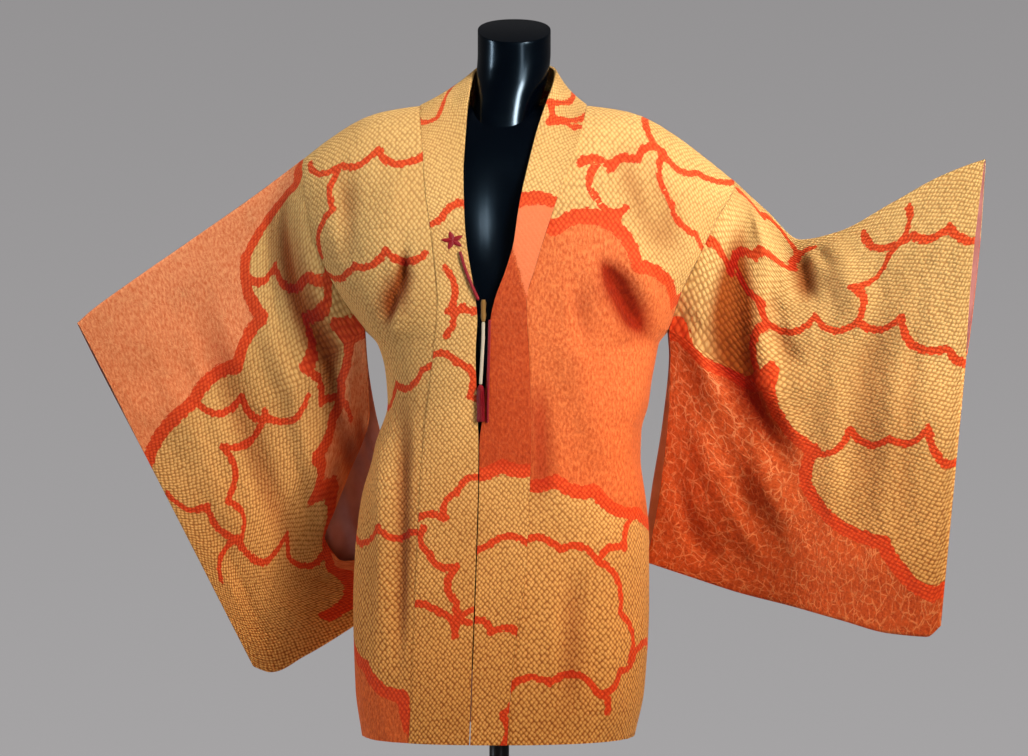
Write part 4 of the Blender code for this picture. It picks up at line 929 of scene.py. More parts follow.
def unit(vectors):
    return vectors / np.maximum(np.linalg.norm(vectors, axis=-1, keepdims=True), 1e-12)


def fold_height(x, z, folds, scale_x=1.0, scale_z=1.0):
    """How far the folds move points out, each fading across its width and towards its ends."""
    total = np.zeros(np.broadcast(x, z).shape)
    from_x, from_z, to_x, to_z, out, widths = folds.values()
    for i, width in enumerate(widths):
        run_x, run_z = (to_x[i] - from_x[i]) * scale_x, (to_z[i] - from_z[i]) * scale_z
        off_x, off_z = (x - from_x[i]) * scale_x, (z - from_z[i]) * scale_z
        length = math.hypot(run_x, run_z)
        along = (off_x * run_x + off_z * run_z) / length
        aside = (off_x * run_z - off_z * run_x) / length
        taper = ease(along, -width, 0.35 * length) * (1 - ease(along, 0.65 * length, length + width))
        total += out[i] * np.exp(-((aside / width) ** 2)) * taper
    return total


def widened(folds):
    """The same folds, wider: the painted shade in a fold reaches past it."""
    return {**folds, "width": folds["width"] * SHADE_SPREAD}


def ripple(u, v, seed, height, wave):
    """Soft uneven waves over a sheet, from a few directions, with their lengths spread about one wave."""
    draw = np.random.default_rng(seed)
    total = np.zeros(np.broadcast(u, v).shape)
    for _ in range(RIPPLES):
        turn, phase = draw.uniform(0, 2 * math.pi, 2)
        length = wave * draw.uniform(0.7, 1.6)
        total += np.sin((u * math.cos(turn) + v * math.sin(turn)) * 2 * math.pi / length + phase)
    return total * height / math.sqrt(RIPPLES)


def even_places(places, points, step):
    """The places where points that are one step apart lie on a line of points."""
    run = np.concatenate([[0], np.cumsum(np.linalg.norm(np.diff(points, axis=0), axis=1))])
    count = max(round(run[-1] / step), 2)
    return np.interp(np.linspace(0, run[-1], count + 1), run, places)


def run_along(grid, axis):
    """Distance along each line of a grid's points from its start."""
    spans = np.linalg.norm(np.diff(grid, axis=axis), axis=2)
    first = np.zeros_like(np.take(spans, [0], axis=axis))
    return np.concatenate([first, np.cumsum(spans, axis=axis)], axis=axis)


def grid_normals(grid):
    over, down = np.gradient(grid, axis=1), np.gradient(grid, axis=0)
    return unit(np.cross(over, down))


def shoulder_height(x):
    return smooth(SHOULDER, "height", "across", np.abs(x - AXIS))


def side_edge(side, height):
    return smooth(BODY, "left_side" if side == LEFT else "right_side", "height", height)


def arch(row, below=ROWS_BELOW):
    """The arch from the armpit (row below) to the shoulder: its share of the rise and of the depth."""
    angle = np.clip((row - below) / ROWS_ABOVE, 0, 1) * math.pi / 2
    return np.sin(angle) ** (2 / ROUND), np.maximum(np.cos(angle), 0) ** (2 / ROUND)


def row_height(row, x):
    height = HEM + (ARMPIT - HEM) * np.minimum(row / ROWS_BELOW, 1.0)
    return height + (shoulder_height(x) - ARMPIT) * arch(row)[0]


def squared(share, opening):
    """Depth across a half section, which keeps the opening's share of it at the side."""
    kept = opening**ROUND
    return ((1 - np.minimum(np.abs(share), 1.0) ** ROUND) * (1 - kept) + kept) ** (1 / ROUND)


def body_points(side, face, row, inner_x, across):
    """Points of the jacket's body, from the panel's inner edge (across 0) to its side (1)."""
    height = row_height(row, AXIS + 0 * across)
    for _ in range(SETTLE):
        half = side_edge(side, height) - AXIS
        outer = half
        if side == LEFT and face == FRONT:
            outer = half - smooth(TUCK, "drawn_in", "height", height)
        inner_share = np.clip((inner_x(row, height) - AXIS) / half, 0.0, 1.0)
        inner_angle = np.arcsin(inner_share ** (ROUND / 2))
        outer_angle = np.arcsin(np.minimum(outer / half, 1.0) ** (ROUND / 2))
        share = np.sin(inner_angle + (outer_angle - inner_angle) * across) ** (2 / ROUND)
        x = AXIS + share * half
        height = row_height(row, x)
    full = smooth(BODY, "front" if face == FRONT else "back", "height", height)
    opening = smooth(BODY, "opening", "height", height)
    y = face * full * arch(row)[1] * squared(share, opening)
    return np.stack([x, y, height], axis=-1)


def front_inner(side):
    column = "left_seam" if side == LEFT else "right_seam"
    return lambda row, height: smooth(COLLAR_FRONT, column, "height", height)


def back_inner(side):
    """The back seam, then the neckline, which meets the front's collar seam on the shoulder."""

    def inner_x(row, height):
        rise = arch(row)[0]
        across = np.where(rise > NECKLINE["rise"][0], smooth(NECKLINE, "across", "rise", rise), 0.0)
        neckline = AXIS + side * (across + SEAM / 2)
        return neckline + (front_inner(side)(row, height) - neckline) * ease(row, LAST_ROW - 1.2, LAST_ROW)

    return inner_x


def panel_points(side, places, across):
    """The panel's points before its folds. Places run from the front hem over the shoulder to the back."""
    points = np.empty((len(places), len(across), 3))
    for face, chosen in ((FRONT, places <= LAST_ROW), (BACK, places > LAST_ROW)):
        row = np.where(face == FRONT, places, 2 * LAST_ROW - places)[chosen][:, None]
        inner_x = front_inner(side) if face == FRONT else back_inner(side)
        points[chosen] = body_points(side, face, row, inner_x, across[None, :])
    return points


class Cloth:
    """A grid of points on a sheet's outer face, its flat coordinates, and how far its folds sink, for the
    painted shade in them.
    """

    def __init__(self, points, u, v, fold, front, wrapped=False):
        self.points, self.u, self.v, self.fold = points, u, v, fold
        self.front, self.wrapped = front, wrapped


def body_cloth(side):
    """One body panel from its front hem to its back hem."""
    dense = np.linspace(0, 2 * LAST_ROW, 1200)
    places = even_places(dense, panel_points(side, dense, np.array([0.6]))[:, 0], CLOTH_STEP)
    across = np.linspace(0, 1, round(PANEL_WIDTH / CLOTH_STEP) + 1)
    base = panel_points(side, places, across)
    u = run_along(base, 1) + np.abs(base[:, :1, 0] - AXIS)
    v = np.broadcast_to(run_along(base[:, 30:31], 0), u.shape)
    front = np.broadcast_to((places <= LAST_ROW)[:, None], u.shape)
    row = np.where(places <= LAST_ROW, places, 2 * LAST_ROW - places)[:, None]
    at_seam = ease(across, 0, 1 / 6)[None, :]
    off_shoulder = 1 - ease(row, LAST_ROW - 3, LAST_ROW)
    fold = np.where(
        front,
        fold_height(base[..., 0], base[..., 2], FRONT_FOLDS),
        fold_height(base[..., 0], base[..., 2], BACK_FOLDS),
    )
    # The folds' depth, widened, and the creases' depth, which the crepe turns into painted shade
    shade = np.where(
        front,
        fold_height(base[..., 0], base[..., 2], widened(FRONT_FOLDS)),
        fold_height(base[..., 0], base[..., 2], widened(BACK_FOLDS)),
    )
    fold = fold * off_shoulder * at_seam
    crease = np.where(
        front,
        fold_height(base[..., 0], base[..., 2], FRONT_CREASES),
        fold_height(base[..., 0], base[..., 2], BACK_CREASES),
    )
    inside_edges = ease(across, 0, 0.2) * (1 - ease(across, 0.85, 1))
    waves = ripple(u, v, 11 + side, *PANEL_WAVE) + ripple(u, v, 21 + side, *PANEL_PUCKER)
    small = crease * at_seam + np.maximum(waves, -0.0008) * inside_edges[None, :]
    normals = grid_normals(base)
    normals *= 1 if normals[5, 20, 1] < 0 else -1
    points = base + normals * (fold + small * (0.3 + 0.7 * off_shoulder))[..., None]
    cloth = Cloth(points, u, v, shade + crease, front)
    cloth.places, cloth.side = places, side
    return cloth


def gusset_cloth(side, body):
    """The narrow strip under the arm, between the panel's side edges."""
    below = body.places <= ROWS_BELOW
    rows = np.flatnonzero(below)
    front = body.points[rows, -1]
    back_places = 2 * LAST_ROW - body.places[rows]
    back = np.stack([np.interp(back_places, body.places, body.points[:, -1, k]) for k in range(3)], axis=1)
    run = unit(back - front)
    start, end = front + run * SEAM, back - run * SEAM
    share = np.linspace(0, 1, 14)[None, :, None]
    points = start[:, None] * (1 - share) + end[:, None] * share
    points[..., 0] += side * np.sin(share[..., 0] * math.pi) * GUSSET_BULGE
    u = body.u[rows, -1][:, None] + run_along(points, 1)
    v = np.broadcast_to(body.v[rows, -1][:, None], u.shape)
    return Cloth(points, u, v, np.zeros(u.shape), np.ones(u.shape, bool))


def surface_y(x, height):
    """The front face of the body at a place on X and a height, before its folds."""
    half = np.where(x > AXIS, side_edge(LEFT, height), side_edge(RIGHT, height)) - AXIS
    full = smooth(BODY, "front", "height", height)
    rise = np.clip((height - ARMPIT) / (shoulder_height(x) - ARMPIT), 0.0, 1.0)
    opening = smooth(BODY, "opening", "height", height)
    return -full * (1 - rise**ROUND) ** (1 / ROUND) * squared((x - AXIS) / half, opening)


def collar_half(side, body):
    """The collar's outer points from the hem to the back seam, from its seam to its free edge."""
    neckline_foot = ROWS_BELOW + ROWS_ABOVE * math.asin(NECKLINE["rise"][0] ** (ROUND / 2)) / (math.pi / 2)
    chosen = body.places <= 2 * LAST_ROW - neckline_foot
    dense_seam = body.points[chosen, 0]
    dense_places = body.places[chosen]
    places = even_places(dense_places, dense_seam, COLLAR_STEP)
    seam = np.stack([np.interp(places, dense_places, dense_seam[:, k]) for k in range(3)], axis=1)
    body_normals = grid_normals(body.points)[chosen, 0]
    body_normals *= 1 if body_normals[5, 1] < 0 else -1
    normals = np.stack([np.interp(places, dense_places, body_normals[:, k]) for k in range(3)], axis=1)
    normals = unit(normals)
    front = places <= LAST_ROW
    top = np.interp(LAST_ROW, places, seam[:, 2])
    lift = np.where(front, ease(seam[:, 2], TURNED_FROM, TURNED_TO), 1.0)
    turn = np.where(
        front,
        ease(seam[:, 2], NECK_TURN_FROM, top),
        1 + (places - LAST_ROW) / (LAST_ROW - neckline_foot),
    )
    edge_x = smooth(COLLAR_FRONT, "left_edge" if side == LEFT else "right_edge", "height", seam[:, 2])
    share = np.linspace(0, 1, round(COLLAR_WIDTH / COLLAR_STEP) + 1)[None, :]
    on_body_x = seam[:, :1] + (edge_x[:, None] - seam[:, :1]) * share
    heights = np.broadcast_to(seam[:, 2:], on_body_x.shape)
    on_body = np.stack([on_body_x, surface_y(on_body_x, heights), heights], axis=-1)
    column = "left_side" if side == LEFT else "right_side"
    free = np.stack(
        [
            NECK_MIDDLE + side * smooth(NECK_EDGE, column, "turn", turn),
            smooth(NECK_EDGE, "depth", "turn", turn),
            smooth(NECK_EDGE, "height", "turn", turn),
        ],
        axis=1,
    )
    standing = seam[:, None] * (1 - share[..., None]) + free[:, None] * share[..., None]
    outwards = seam - np.array((NECK_MIDDLE, 0.0, 0.0))
    outwards[:, 2] = 0
    outwards = unit(outwards) + np.array((0, 0, ROLL_RISE))
    roll = (COLLAR_SINK + (COLLAR_ROLL - COLLAR_SINK) * ease(turn, 1, 2)) * lift
    standing += outwards[:, None] * (np.sin(share * math.pi) * roll[:, None])[..., None]
    grid = on_body * (1 - lift[:, None, None]) + standing * lift[:, None, None]
    away = grid[:, 1] - grid[:, 0]
    away -= normals * np.sum(away * normals, axis=1, keepdims=True)
    grid[:, 0] += unit(away) * COLLAR_SEAM_SHIFT
    return grid, normals


def collar_cloth(bodies):
    """The collar from the right front's hem round the neck to the left front's hem."""
    right, right_normals = collar_half(RIGHT, bodies[RIGHT])
    left, left_normals = collar_half(LEFT, bodies[LEFT])
    base = np.concatenate([right, left[::-1][1:]])
    normals = grid_normals(base)
    normals *= 1 if normals[5, 5, 1] < 0 else -1
    normals[:, 0] = np.concatenate([right_normals, left_normals[::-1][1:]])
    share = np.linspace(0, 1, base.shape[1])[None, :]
    is_left = (np.arange(len(base)) >= len(right))[:, None]
    height = base[..., 2]
    fold_line = TURN_LINE_SEAM + (TURN_LINE_EDGE - TURN_LINE_SEAM) * share
    turned = ease(height, fold_line, fold_line + TURN_ROLL) * (
        1 - ease(height, TURNED_FROM + 0.05, TURNED_TO)
    )
    turned = turned * is_left
    u = run_along(base, 1)
    v = np.broadcast_to(run_along(base[:, 10:11], 0), u.shape)
    waves = ripple(u, v, 31, *COLLAR_WAVE)
    lift = COLLAR_PROUD + turned * TURN_STEP + np.maximum(waves, -0.0004)
    # Painted shade on the cloth just under the turned layer's fold, and the value that marks the turned layer
    # for the turned orange
    under = (1 - ease(height, fold_line, fold_line + TURN_ROLL)) * is_left * ease(height, 0.93, 0.95)
    shade = TURNED_LAYER_MARK * (turned > 0.5) - UNDER_SHADE * under
    cloth = Cloth(base + normals * lift[..., None], u, v, shade, ~np.broadcast_to(is_left, u.shape))
    return cloth


class Sleeve:
    """One sleeve: a flat bag with its fold on top, open at the armhole, below it, and at the wrist."""

    def __init__(self, side, body, hang, opening, folds, creases):
        self.side, self.body, self.hang, self.opening = side, body, hang, opening
        self.folds, self.creases = folds, creases
        self.half_at_armpit = self.armhole(np.array(1.0))[1]

    def edge_point(self, place):
        columns = [np.interp(place, self.body.places, self.body.points[:, -1, k]) for k in range(3)]
        return np.stack(columns, axis=-1)

    def armhole(self, drop):
        place = LAST_ROW - drop * ROWS_ABOVE
        front, back = self.edge_point(place), self.edge_point(2 * LAST_ROW - place)
        return (front + back) / 2, np.linalg.norm(back - front, axis=-1) / 2

    def body_side(self, drop):
        """Middle and half distance of the sleeve's body side, down the armhole and then the opening."""
        middle, half = self.armhole(np.minimum(drop / ARMPIT_SHARE, 1.0))
        below = np.clip((drop - ARMPIT_SHARE) / (1 - ARMPIT_SHARE), 0, 1)
        hung = np.stack([smooth(self.opening, axis, "drop", below) for axis in "xyz"], axis=-1)
        mouth = self.half_at_armpit + (SLEEVE_MOUTH - self.half_at_armpit) * ease(below, 0, MOUTH_FROM)
        mouth = mouth + (SLEEVE_EDGE - mouth) * ease(below, MOUTH_TO, 1.0)
        is_below = drop > ARMPIT_SHARE
        return np.where(is_below[..., None], hung, middle), np.where(is_below, mouth, half)

    def hung(self, reach, drop):
        top, foot = (
            np.stack([smooth(self.hang, f"{end}_{axis}", "reach", reach) for axis in "xyz"], axis=-1)
            for end in ("top", "foot")
        )
        return top + (foot - top) * drop[..., None]

    def middle(self, reach, drop):
        seam = self.body_side(drop)[0] + np.array((self.side * SLEEVE_SEAM_SHIFT, 0, 0))
        shift = seam - self.hung(np.zeros_like(reach), drop)
        return self.hung(reach, drop) + shift * ((1 - reach) ** 3)[..., None]

    def forward(self, reach, drop):
        step = SLEEVE_PROBE
        over = self.middle(np.minimum(reach + step, 1), drop)
        over = over - self.middle(np.maximum(reach - step, 0), drop)
        down = self.middle(reach, np.minimum(drop + step, 1))
        down = down - self.middle(reach, np.maximum(drop - step, 0))
        normal = unit(np.cross(over, down))
        normal = normal * -np.sign(normal[..., 1:2])
        clear = ease(reach, 0, ARMHOLE_FADE)[..., None]
        return unit(normal * clear + (1 - clear) * np.array((0, -1, 0)))

    def half(self, reach, drop):
        fill = SLEEVE_EDGE + SLEEVE_FILL * np.sin(math.pi * drop) ** 0.8
        open_part = np.sin(math.pi * np.minimum(drop / WRIST_SHARE, 1.0))
        wrist = SLEEVE_EDGE + (WRIST_OPENING - SLEEVE_EDGE) * open_part
        at_cuff = ease(reach, CUFF_FROM, CUFF_TO)
        hung = fill * (1 - at_cuff) + wrist * at_cuff
        at_body = 1 - ease(reach, 0, ARMHOLE_FADE)
        return np.maximum(hung * (1 - at_body) + self.body_side(drop)[1] * at_body, SLEEVE_EDGE)

    def layer(self, reach, drop, face, inset=0.0, sewn=True):
        """Points of the front or the back layer, with its folds, one inset inside its outer face."""
        flat_reach, flat_drop = reach, drop
        below = np.clip((drop - ARMPIT_SHARE) / (1 - ARMPIT_SHARE), 0, 1)
        if face == FRONT:
            parted = OPENING_PARTED if self.side == RIGHT else self.opening
            reach = reach + smooth(parted, "parted", "drop", below) * (1 - reach)
        near_fold = np.minimum(drop, 1 - drop) * SLEEVE_LENGTH / FOLD_TURN
        rounding = np.sqrt(np.clip(1 - (1 - np.minimum(near_fold, 1)) ** 2, 0, 1))
        if sewn:
            near_cuff = (1 - flat_reach) * SLEEVE_WIDTH / FOLD_TURN
            shut = np.sqrt(np.clip(1 - (1 - np.minimum(near_cuff, 1)) ** 2, 0, 1))
            rounding = np.where(drop >= WRIST_SHARE, rounding * shut, rounding)
        forward = self.forward(reach, drop)
        at_seam = ease(reach, 0, SEAM_FADE) * ease(drop, 0, FOLD_FADE)
        fold = fold_height(reach, drop, self.folds, SLEEVE_WIDTH, SLEEVE_LENGTH) * at_seam
        crease = fold_height(reach, drop, self.creases, SLEEVE_WIDTH, SLEEVE_LENGTH) * at_seam
        u = flat_reach * SLEEVE_WIDTH
        v = flat_drop * SLEEVE_LENGTH * (1 if face == FRONT else -1)
        inside_edges = ease(reach, 0, 0.15) * (1 - ease(reach, 0.9, 1))
        inside_edges = inside_edges * ease(drop, 0, 0.1) * (1 - ease(drop, 0.9, 1))
        waves = ripple(u, v, 41 + 2 * self.side + face, *SLEEVE_WAVE)
        waves = waves + ripple(u, v, 51 + self.side, *PANEL_PUCKER)
        away = (self.half(reach, drop) - inset) * rounding * -face
        outwards = fold + crease + waves * inside_edges + away
        points = self.middle(reach, drop) + forward * outwards[..., None]
        # The folds' depth, widened, and the creases' depth, for the painted shade in them
        shade = fold_height(reach, drop, widened(self.folds), SLEEVE_WIDTH, SLEEVE_LENGTH) * at_seam
        shown = (shade + crease) * (1 if face == FRONT else -1)
        return points, np.broadcast_to(u, points.shape[:2]), np.broadcast_to(v, points.shape[:2]), shown

    def cloth(self):
        turn = FOLD_TURN / SLEEVE_LENGTH
        rounded = [0.0, 0.12 * turn, 0.4 * turn, 0.75 * turn]
        level = np.linspace(turn, 1 - turn, round(SLEEVE_LENGTH / CLOTH_STEP))
        drops = np.concatenate([rounded, level, 1 - np.array(rounded[::-1])])
        close = FOLD_TURN / SLEEVE_WIDTH
        cuff = [1 - close, 1 - 0.7 * close, 1 - 0.4 * close, 1 - 0.15 * close, 1.0]
        reaches = np.concatenate([np.linspace(0, 1 - 1.8 * close, round(SLEEVE_WIDTH / CLOTH_STEP)), cuff])
        reach, drop = np.meshgrid(reaches, drops, indexing="ij")
        front = self.layer(reach, drop, FRONT)
        back = self.layer(reach[:, ::-1], drop[:, ::-1], BACK)
        points, u, v, fold = (np.concatenate([a, b], axis=1) for a, b in zip(front, back))
        is_front = np.zeros(u.shape, bool)
        is_front[:, : len(drops)] = True
        return Cloth(points, u, v, fold, is_front, wrapped=True)

    def lining_cloth(self):
        """The lining where the opening shows it, just in front of the back layer's inner face."""
        reach, drop = np.meshgrid(np.linspace(0.07, 0.5, 40), np.linspace(0.44, 0.985, 72), indexing="ij")
        points, u, v, fold = self.layer(reach, drop, BACK, CLOTH_THICK + 2 * SEAM, sewn=False)
        forward = self.forward(reach, drop)
        points = points + forward * (LINING_GAP + ripple(u, v, 61, *LINING_WAVE)[..., None])
        return Cloth(points, u, v, fold, np.ones(u.shape, bool))
# Layout of the dyed clouds: the piece, whether it is its front face, the lobes' bulge as a share of their
# length, and the places between lobes, across (X) and up (Z).
CLOUD_LINES = (
    ("sleeve_right", True, -0.22, ((-0.322, 1.185), (-0.285, 1.195), (-0.240, 1.180), (-0.200, 1.200))),
    ("sleeve_right", True, 0.20, (
        (-0.215, 1.195), (-0.248, 1.130), (-0.250, 1.065), (-0.228, 1.020), (-0.190, 1.000),
    )),
    ("sleeve_right", True, -0.24, ((-0.385, 1.020), (-0.330, 1.030), (-0.295, 1.000), (-0.245, 1.030))),
    ("sleeve_right", True, 0.24, ((-0.300, 1.010), (-0.355, 0.965), (-0.350, 0.895), (-0.335, 0.840))),
    ("sleeve_right", True, -0.22, ((-0.425, 0.905), (-0.375, 0.890), (-0.338, 0.845), (-0.360, 0.790))),
    ("sleeve_right", True, -0.20, ((-0.338, 0.842), (-0.275, 0.850), (-0.225, 0.835), (-0.190, 0.845))),
    ("sleeve_right", False, -0.22, (
        (-0.250, 1.250), (-0.310, 1.200), (-0.345, 1.140), (-0.420, 1.120), (-0.470, 1.060),
    )),
    ("sleeve_right", False, 0.22, ((-0.310, 1.200), (-0.290, 1.120), (-0.235, 1.080), (-0.170, 1.060))),
    ("sleeve_right", False, -0.22, ((-0.235, 1.080), (-0.250, 1.000), (-0.215, 0.950), (-0.140, 0.930))),
    ("sleeve_right", False, 0.20, ((-0.250, 1.000), (-0.320, 0.985), (-0.360, 0.920), (-0.420, 0.900))),
    ("sleeve_left", True, -0.20, (
        (0.245, 1.215), (0.290, 1.185), (0.320, 1.205), (0.365, 1.190), (0.392, 1.215),
    )),
    ("sleeve_left", True, -0.24, ((0.500, 1.262), (0.478, 1.205), (0.432, 1.165), (0.442, 1.122))),
    ("sleeve_left", True, 0.22, (
        (0.336, 1.122), (0.392, 1.130), (0.442, 1.122), (0.492, 1.128), (0.545, 1.088), (0.600, 1.070),
    )),
    ("sleeve_left", True, 0.22, ((0.448, 1.232), (0.505, 1.228), (0.545, 1.235), (0.620, 1.225))),
    ("sleeve_left", True, 0.20, ((0.300, 1.185), (0.328, 1.150), (0.338, 1.118), (0.322, 1.062))),
    ("sleeve_left", True, 0.24, (
        (0.392, 0.958), (0.432, 0.990), (0.478, 0.978), (0.522, 0.992), (0.590, 0.945),
    )),
    ("sleeve_left", True, -0.20, ((0.300, 1.290), (0.330, 1.255), (0.352, 1.238), (0.372, 1.200))),
    ("sleeve_left", False, 0.22, (
        (0.300, 1.240), (0.350, 1.180), (0.420, 1.170), (0.460, 1.110), (0.590, 1.090),
    )),
    ("sleeve_left", False, -0.22, ((0.420, 1.170), (0.430, 1.230), (0.500, 1.260))),
    ("sleeve_left", False, 0.22, (
        (0.240, 1.110), (0.310, 1.060), (0.380, 1.050), (0.420, 0.980), (0.580, 0.960),
    )),
    ("sleeve_left", False, 0.20, ((0.380, 1.050), (0.360, 0.960), (0.300, 0.900), (0.210, 0.890))),
    ("body_right", True, 0.24, (
        (-0.238, 1.322), (-0.196, 1.318), (-0.150, 1.338), (-0.108, 1.322), (-0.090, 1.345),
    )),
    ("body_right", True, 0.20, ((-0.196, 1.318), (-0.206, 1.262), (-0.222, 1.205))),
    ("body_right", True, 0.22, ((-0.222, 1.185), (-0.180, 1.192), (-0.140, 1.210), (-0.090, 1.205))),
    ("body_right", True, 0.24, ((-0.170, 1.020), (-0.128, 1.045), (-0.095, 1.062), (-0.070, 1.110))),
    ("body_right", True, 0.24, ((-0.195, 0.862), (-0.150, 0.868), (-0.110, 0.862), (-0.080, 0.890))),
    ("body_right", False, 0.22, (
        (0.010, 1.290), (-0.060, 1.270), (-0.110, 1.290), (-0.190, 1.250), (-0.260, 1.270),
    )),
    ("body_right", False, -0.22, ((-0.060, 1.270), (-0.055, 1.190), (0.010, 1.150))),
    ("body_right", False, 0.22, ((0.010, 0.980), (-0.045, 0.960), (-0.100, 0.985), (-0.190, 0.950))),
    ("body_right", False, 0.22, ((-0.100, 0.985), (-0.080, 0.900), (-0.120, 0.830), (-0.200, 0.820))),
    ("body_right", False, 0.22, ((0.010, 0.760), (-0.060, 0.745), (-0.110, 0.700), (-0.190, 0.690))),
    ("body_left", True, 0.22, ((0.098, 1.318), (0.138, 1.310), (0.172, 1.322), (0.206, 1.335))),
    ("body_left", True, -0.26, ((0.118, 1.312), (0.122, 1.275), (0.158, 1.262), (0.148, 1.230))),
    ("body_left", True, -0.22, ((0.186, 1.380), (0.206, 1.330), (0.246, 1.310), (0.300, 1.305))),
    ("body_left", True, -0.22, ((0.206, 1.332), (0.214, 1.270), (0.245, 1.232), (0.275, 1.215))),
    ("body_left", True, 0.22, (
        (0.020, 0.848), (0.076, 0.842), (0.122, 0.826), (0.150, 0.762), (0.162, 0.702), (0.200, 0.706),
    )),
    ("body_left", True, 0.22, ((0.122, 0.826), (0.156, 0.842), (0.176, 0.886))),
    ("body_left", True, 0.26, ((0.010, 0.664), (0.062, 0.678), (0.122, 0.664), (0.134, 0.640))),
    ("body_left", True, -0.20, ((0.122, 0.664), (0.150, 0.690), (0.168, 0.704))),
    ("body_left", False, 0.22, (
        (0.000, 1.250), (0.060, 1.270), (0.120, 1.240), (0.180, 1.260), (0.280, 1.230),
    )),
    ("body_left", False, -0.22, ((0.120, 1.240), (0.130, 1.160), (0.090, 1.100), (0.000, 1.090))),
    ("body_left", False, -0.22, ((0.130, 1.160), (0.180, 1.120), (0.240, 1.130))),
    ("body_left", False, -0.22, ((0.000, 0.790), (0.055, 0.800), (0.110, 0.760), (0.200, 0.770))),
    ("body_left", False, -0.22, ((0.110, 0.760), (0.100, 0.690), (0.140, 0.640), (0.200, 0.630))),
    ("collar", True, -0.24, ((-0.105, 1.392), (-0.078, 1.378), (-0.052, 1.386), (-0.025, 1.382))),
    ("collar", True, 0.26, ((-0.100, 1.205), (-0.072, 1.246), (-0.030, 1.256))),
    ("collar", True, 0.15, ((-0.066, 1.188), (-0.058, 1.142), (-0.064, 1.105))),
    ("collar", True, -0.20, ((-0.062, 1.134), (-0.044, 1.140), (-0.020, 1.135))),
    ("collar", True, 0.26, ((-0.095, 1.078), (-0.052, 1.072), (-0.036, 1.030), (-0.020, 1.000))),
    ("collar", True, 0.24, ((-0.115, 0.872), (-0.066, 0.880), (-0.052, 0.912), (-0.010, 0.922))),
    ("collar", True, -0.24, (
        (-0.092, 0.868), (-0.085, 0.836), (-0.052, 0.822), (-0.052, 0.776), (-0.036, 0.752),
    )),
    ("collar", True, 0.22, ((-0.120, 0.772), (-0.076, 0.766), (-0.054, 0.736), (-0.020, 0.766))),
    ("collar", False, 0.18, ((0.052, 1.420), (0.062, 1.398), (0.066, 1.378))),
    ("collar", False, 0.20, ((0.030, 1.375), (0.062, 1.372), (0.092, 1.362), (0.120, 1.365))),
    ("collar", False, 0.24, ((-0.040, 0.822), (-0.014, 0.846), (0.040, 0.848))),
    ("collar", False, 0.24, ((-0.045, 0.752), (-0.010, 0.740), (0.030, 0.736))),
    ("collar", False, 0.20, ((0.022, 0.672), (0.004, 0.640), (-0.004, 0.590))),
)
ORANGE_AREAS = (
    ("sleeve_right", True, -0.14, (
        (-0.235, 1.370), (-0.252, 1.300), (-0.322, 1.205), (-0.300, 1.130), (-0.335, 1.066),
        (-0.392, 1.020), (-0.450, 0.935), (-0.600, 0.930), (-0.620, 1.180), (-0.420, 1.330),
    )),
    ("sleeve_right", True, 0.14, (
        (-0.168, 1.135), (-0.192, 1.105), (-0.202, 1.050), (-0.214, 1.000), (-0.236, 0.950),
        (-0.240, 0.900), (-0.224, 0.850), (-0.226, 0.740), (0.050, 0.740), (0.050, 1.135),
    )),
    ("sleeve_right", False, 0.16, (
        (-0.070, 0.990), (-0.150, 0.900), (-0.240, 0.880), (-0.300, 0.800), (-0.350, 0.690),
        (-0.300, 0.600), (0.050, 0.700),
    )),
    ("sleeve_left", True, 0.14, (
        (0.050, 1.140), (0.226, 1.108), (0.284, 1.062), (0.338, 1.062), (0.392, 0.962), (0.382, 0.918),
        (0.470, 0.852), (0.575, 0.788), (0.620, 0.650), (0.050, 0.650),
    )),
    ("sleeve_left", False, -0.16, (
        (0.600, 1.200), (0.500, 1.170), (0.470, 1.120), (0.520, 1.070), (0.520, 1.000), (0.700, 0.980),
        (0.700, 1.160),
    )),
    ("sleeve_left", False, 0.14, (
        (0.150, 0.900), (0.260, 0.870), (0.330, 0.800), (0.400, 0.780), (0.450, 0.650), (0.150, 0.650),
    )),
    ("body_right", True, 0.14, (
        (-0.192, 0.735), (-0.166, 0.694), (-0.118, 0.660), (-0.078, 0.590), (-0.090, 0.520),
        (-0.300, 0.520), (-0.300, 0.735),
    )),
    ("body_right", False, 0.16, (
        (-0.110, 1.230), (-0.130, 1.150), (-0.100, 1.080), (-0.150, 1.010), (-0.300, 1.010),
        (-0.300, 1.200),
    )),
    ("body_right", False, -0.14, (
        (0.030, 0.700), (-0.030, 0.690), (-0.060, 0.630), (-0.110, 0.560), (0.030, 0.540),
    )),
    ("body_left", True, 0.14, (
        (0.000, 1.222), (0.070, 1.236), (0.132, 1.246), (0.172, 1.190), (0.218, 1.146), (0.330, 1.130),
        (0.330, 0.880), (0.172, 0.884), (0.118, 0.914), (0.070, 0.926), (0.000, 0.940),
    )),
    ("body_left", False, -0.16, (
        (-0.040, 1.060), (0.050, 1.050), (0.100, 0.990), (0.150, 0.960), (0.140, 0.880), (0.080, 0.850),
        (0.020, 0.870), (-0.040, 0.870),
    )),
    ("collar", False, 0.10, (
        (-0.060, 1.265), (0.020, 1.268), (0.070, 1.268), (0.150, 1.262), (0.150, 0.930), (0.060, 0.946),
        (0.004, 0.944), (-0.060, 0.930),
    )),
)
def scalloped(points, bulge):
    """A cloud line: a shallow lobe from each point to the next, all bulging to the same side."""
    points = np.array(points, float)
    line = []
    for start, end in zip(points[:-1], points[1:]):
        run = end - start
        aside = np.array((-run[1], run[0])) * bulge
        t = np.arange(LOBE_STEPS)[:, None] / LOBE_STEPS
        line.append(start + run * t + aside * np.sin(math.pi * t) ** 0.85)
    return np.concatenate(line + [points[-1:]])


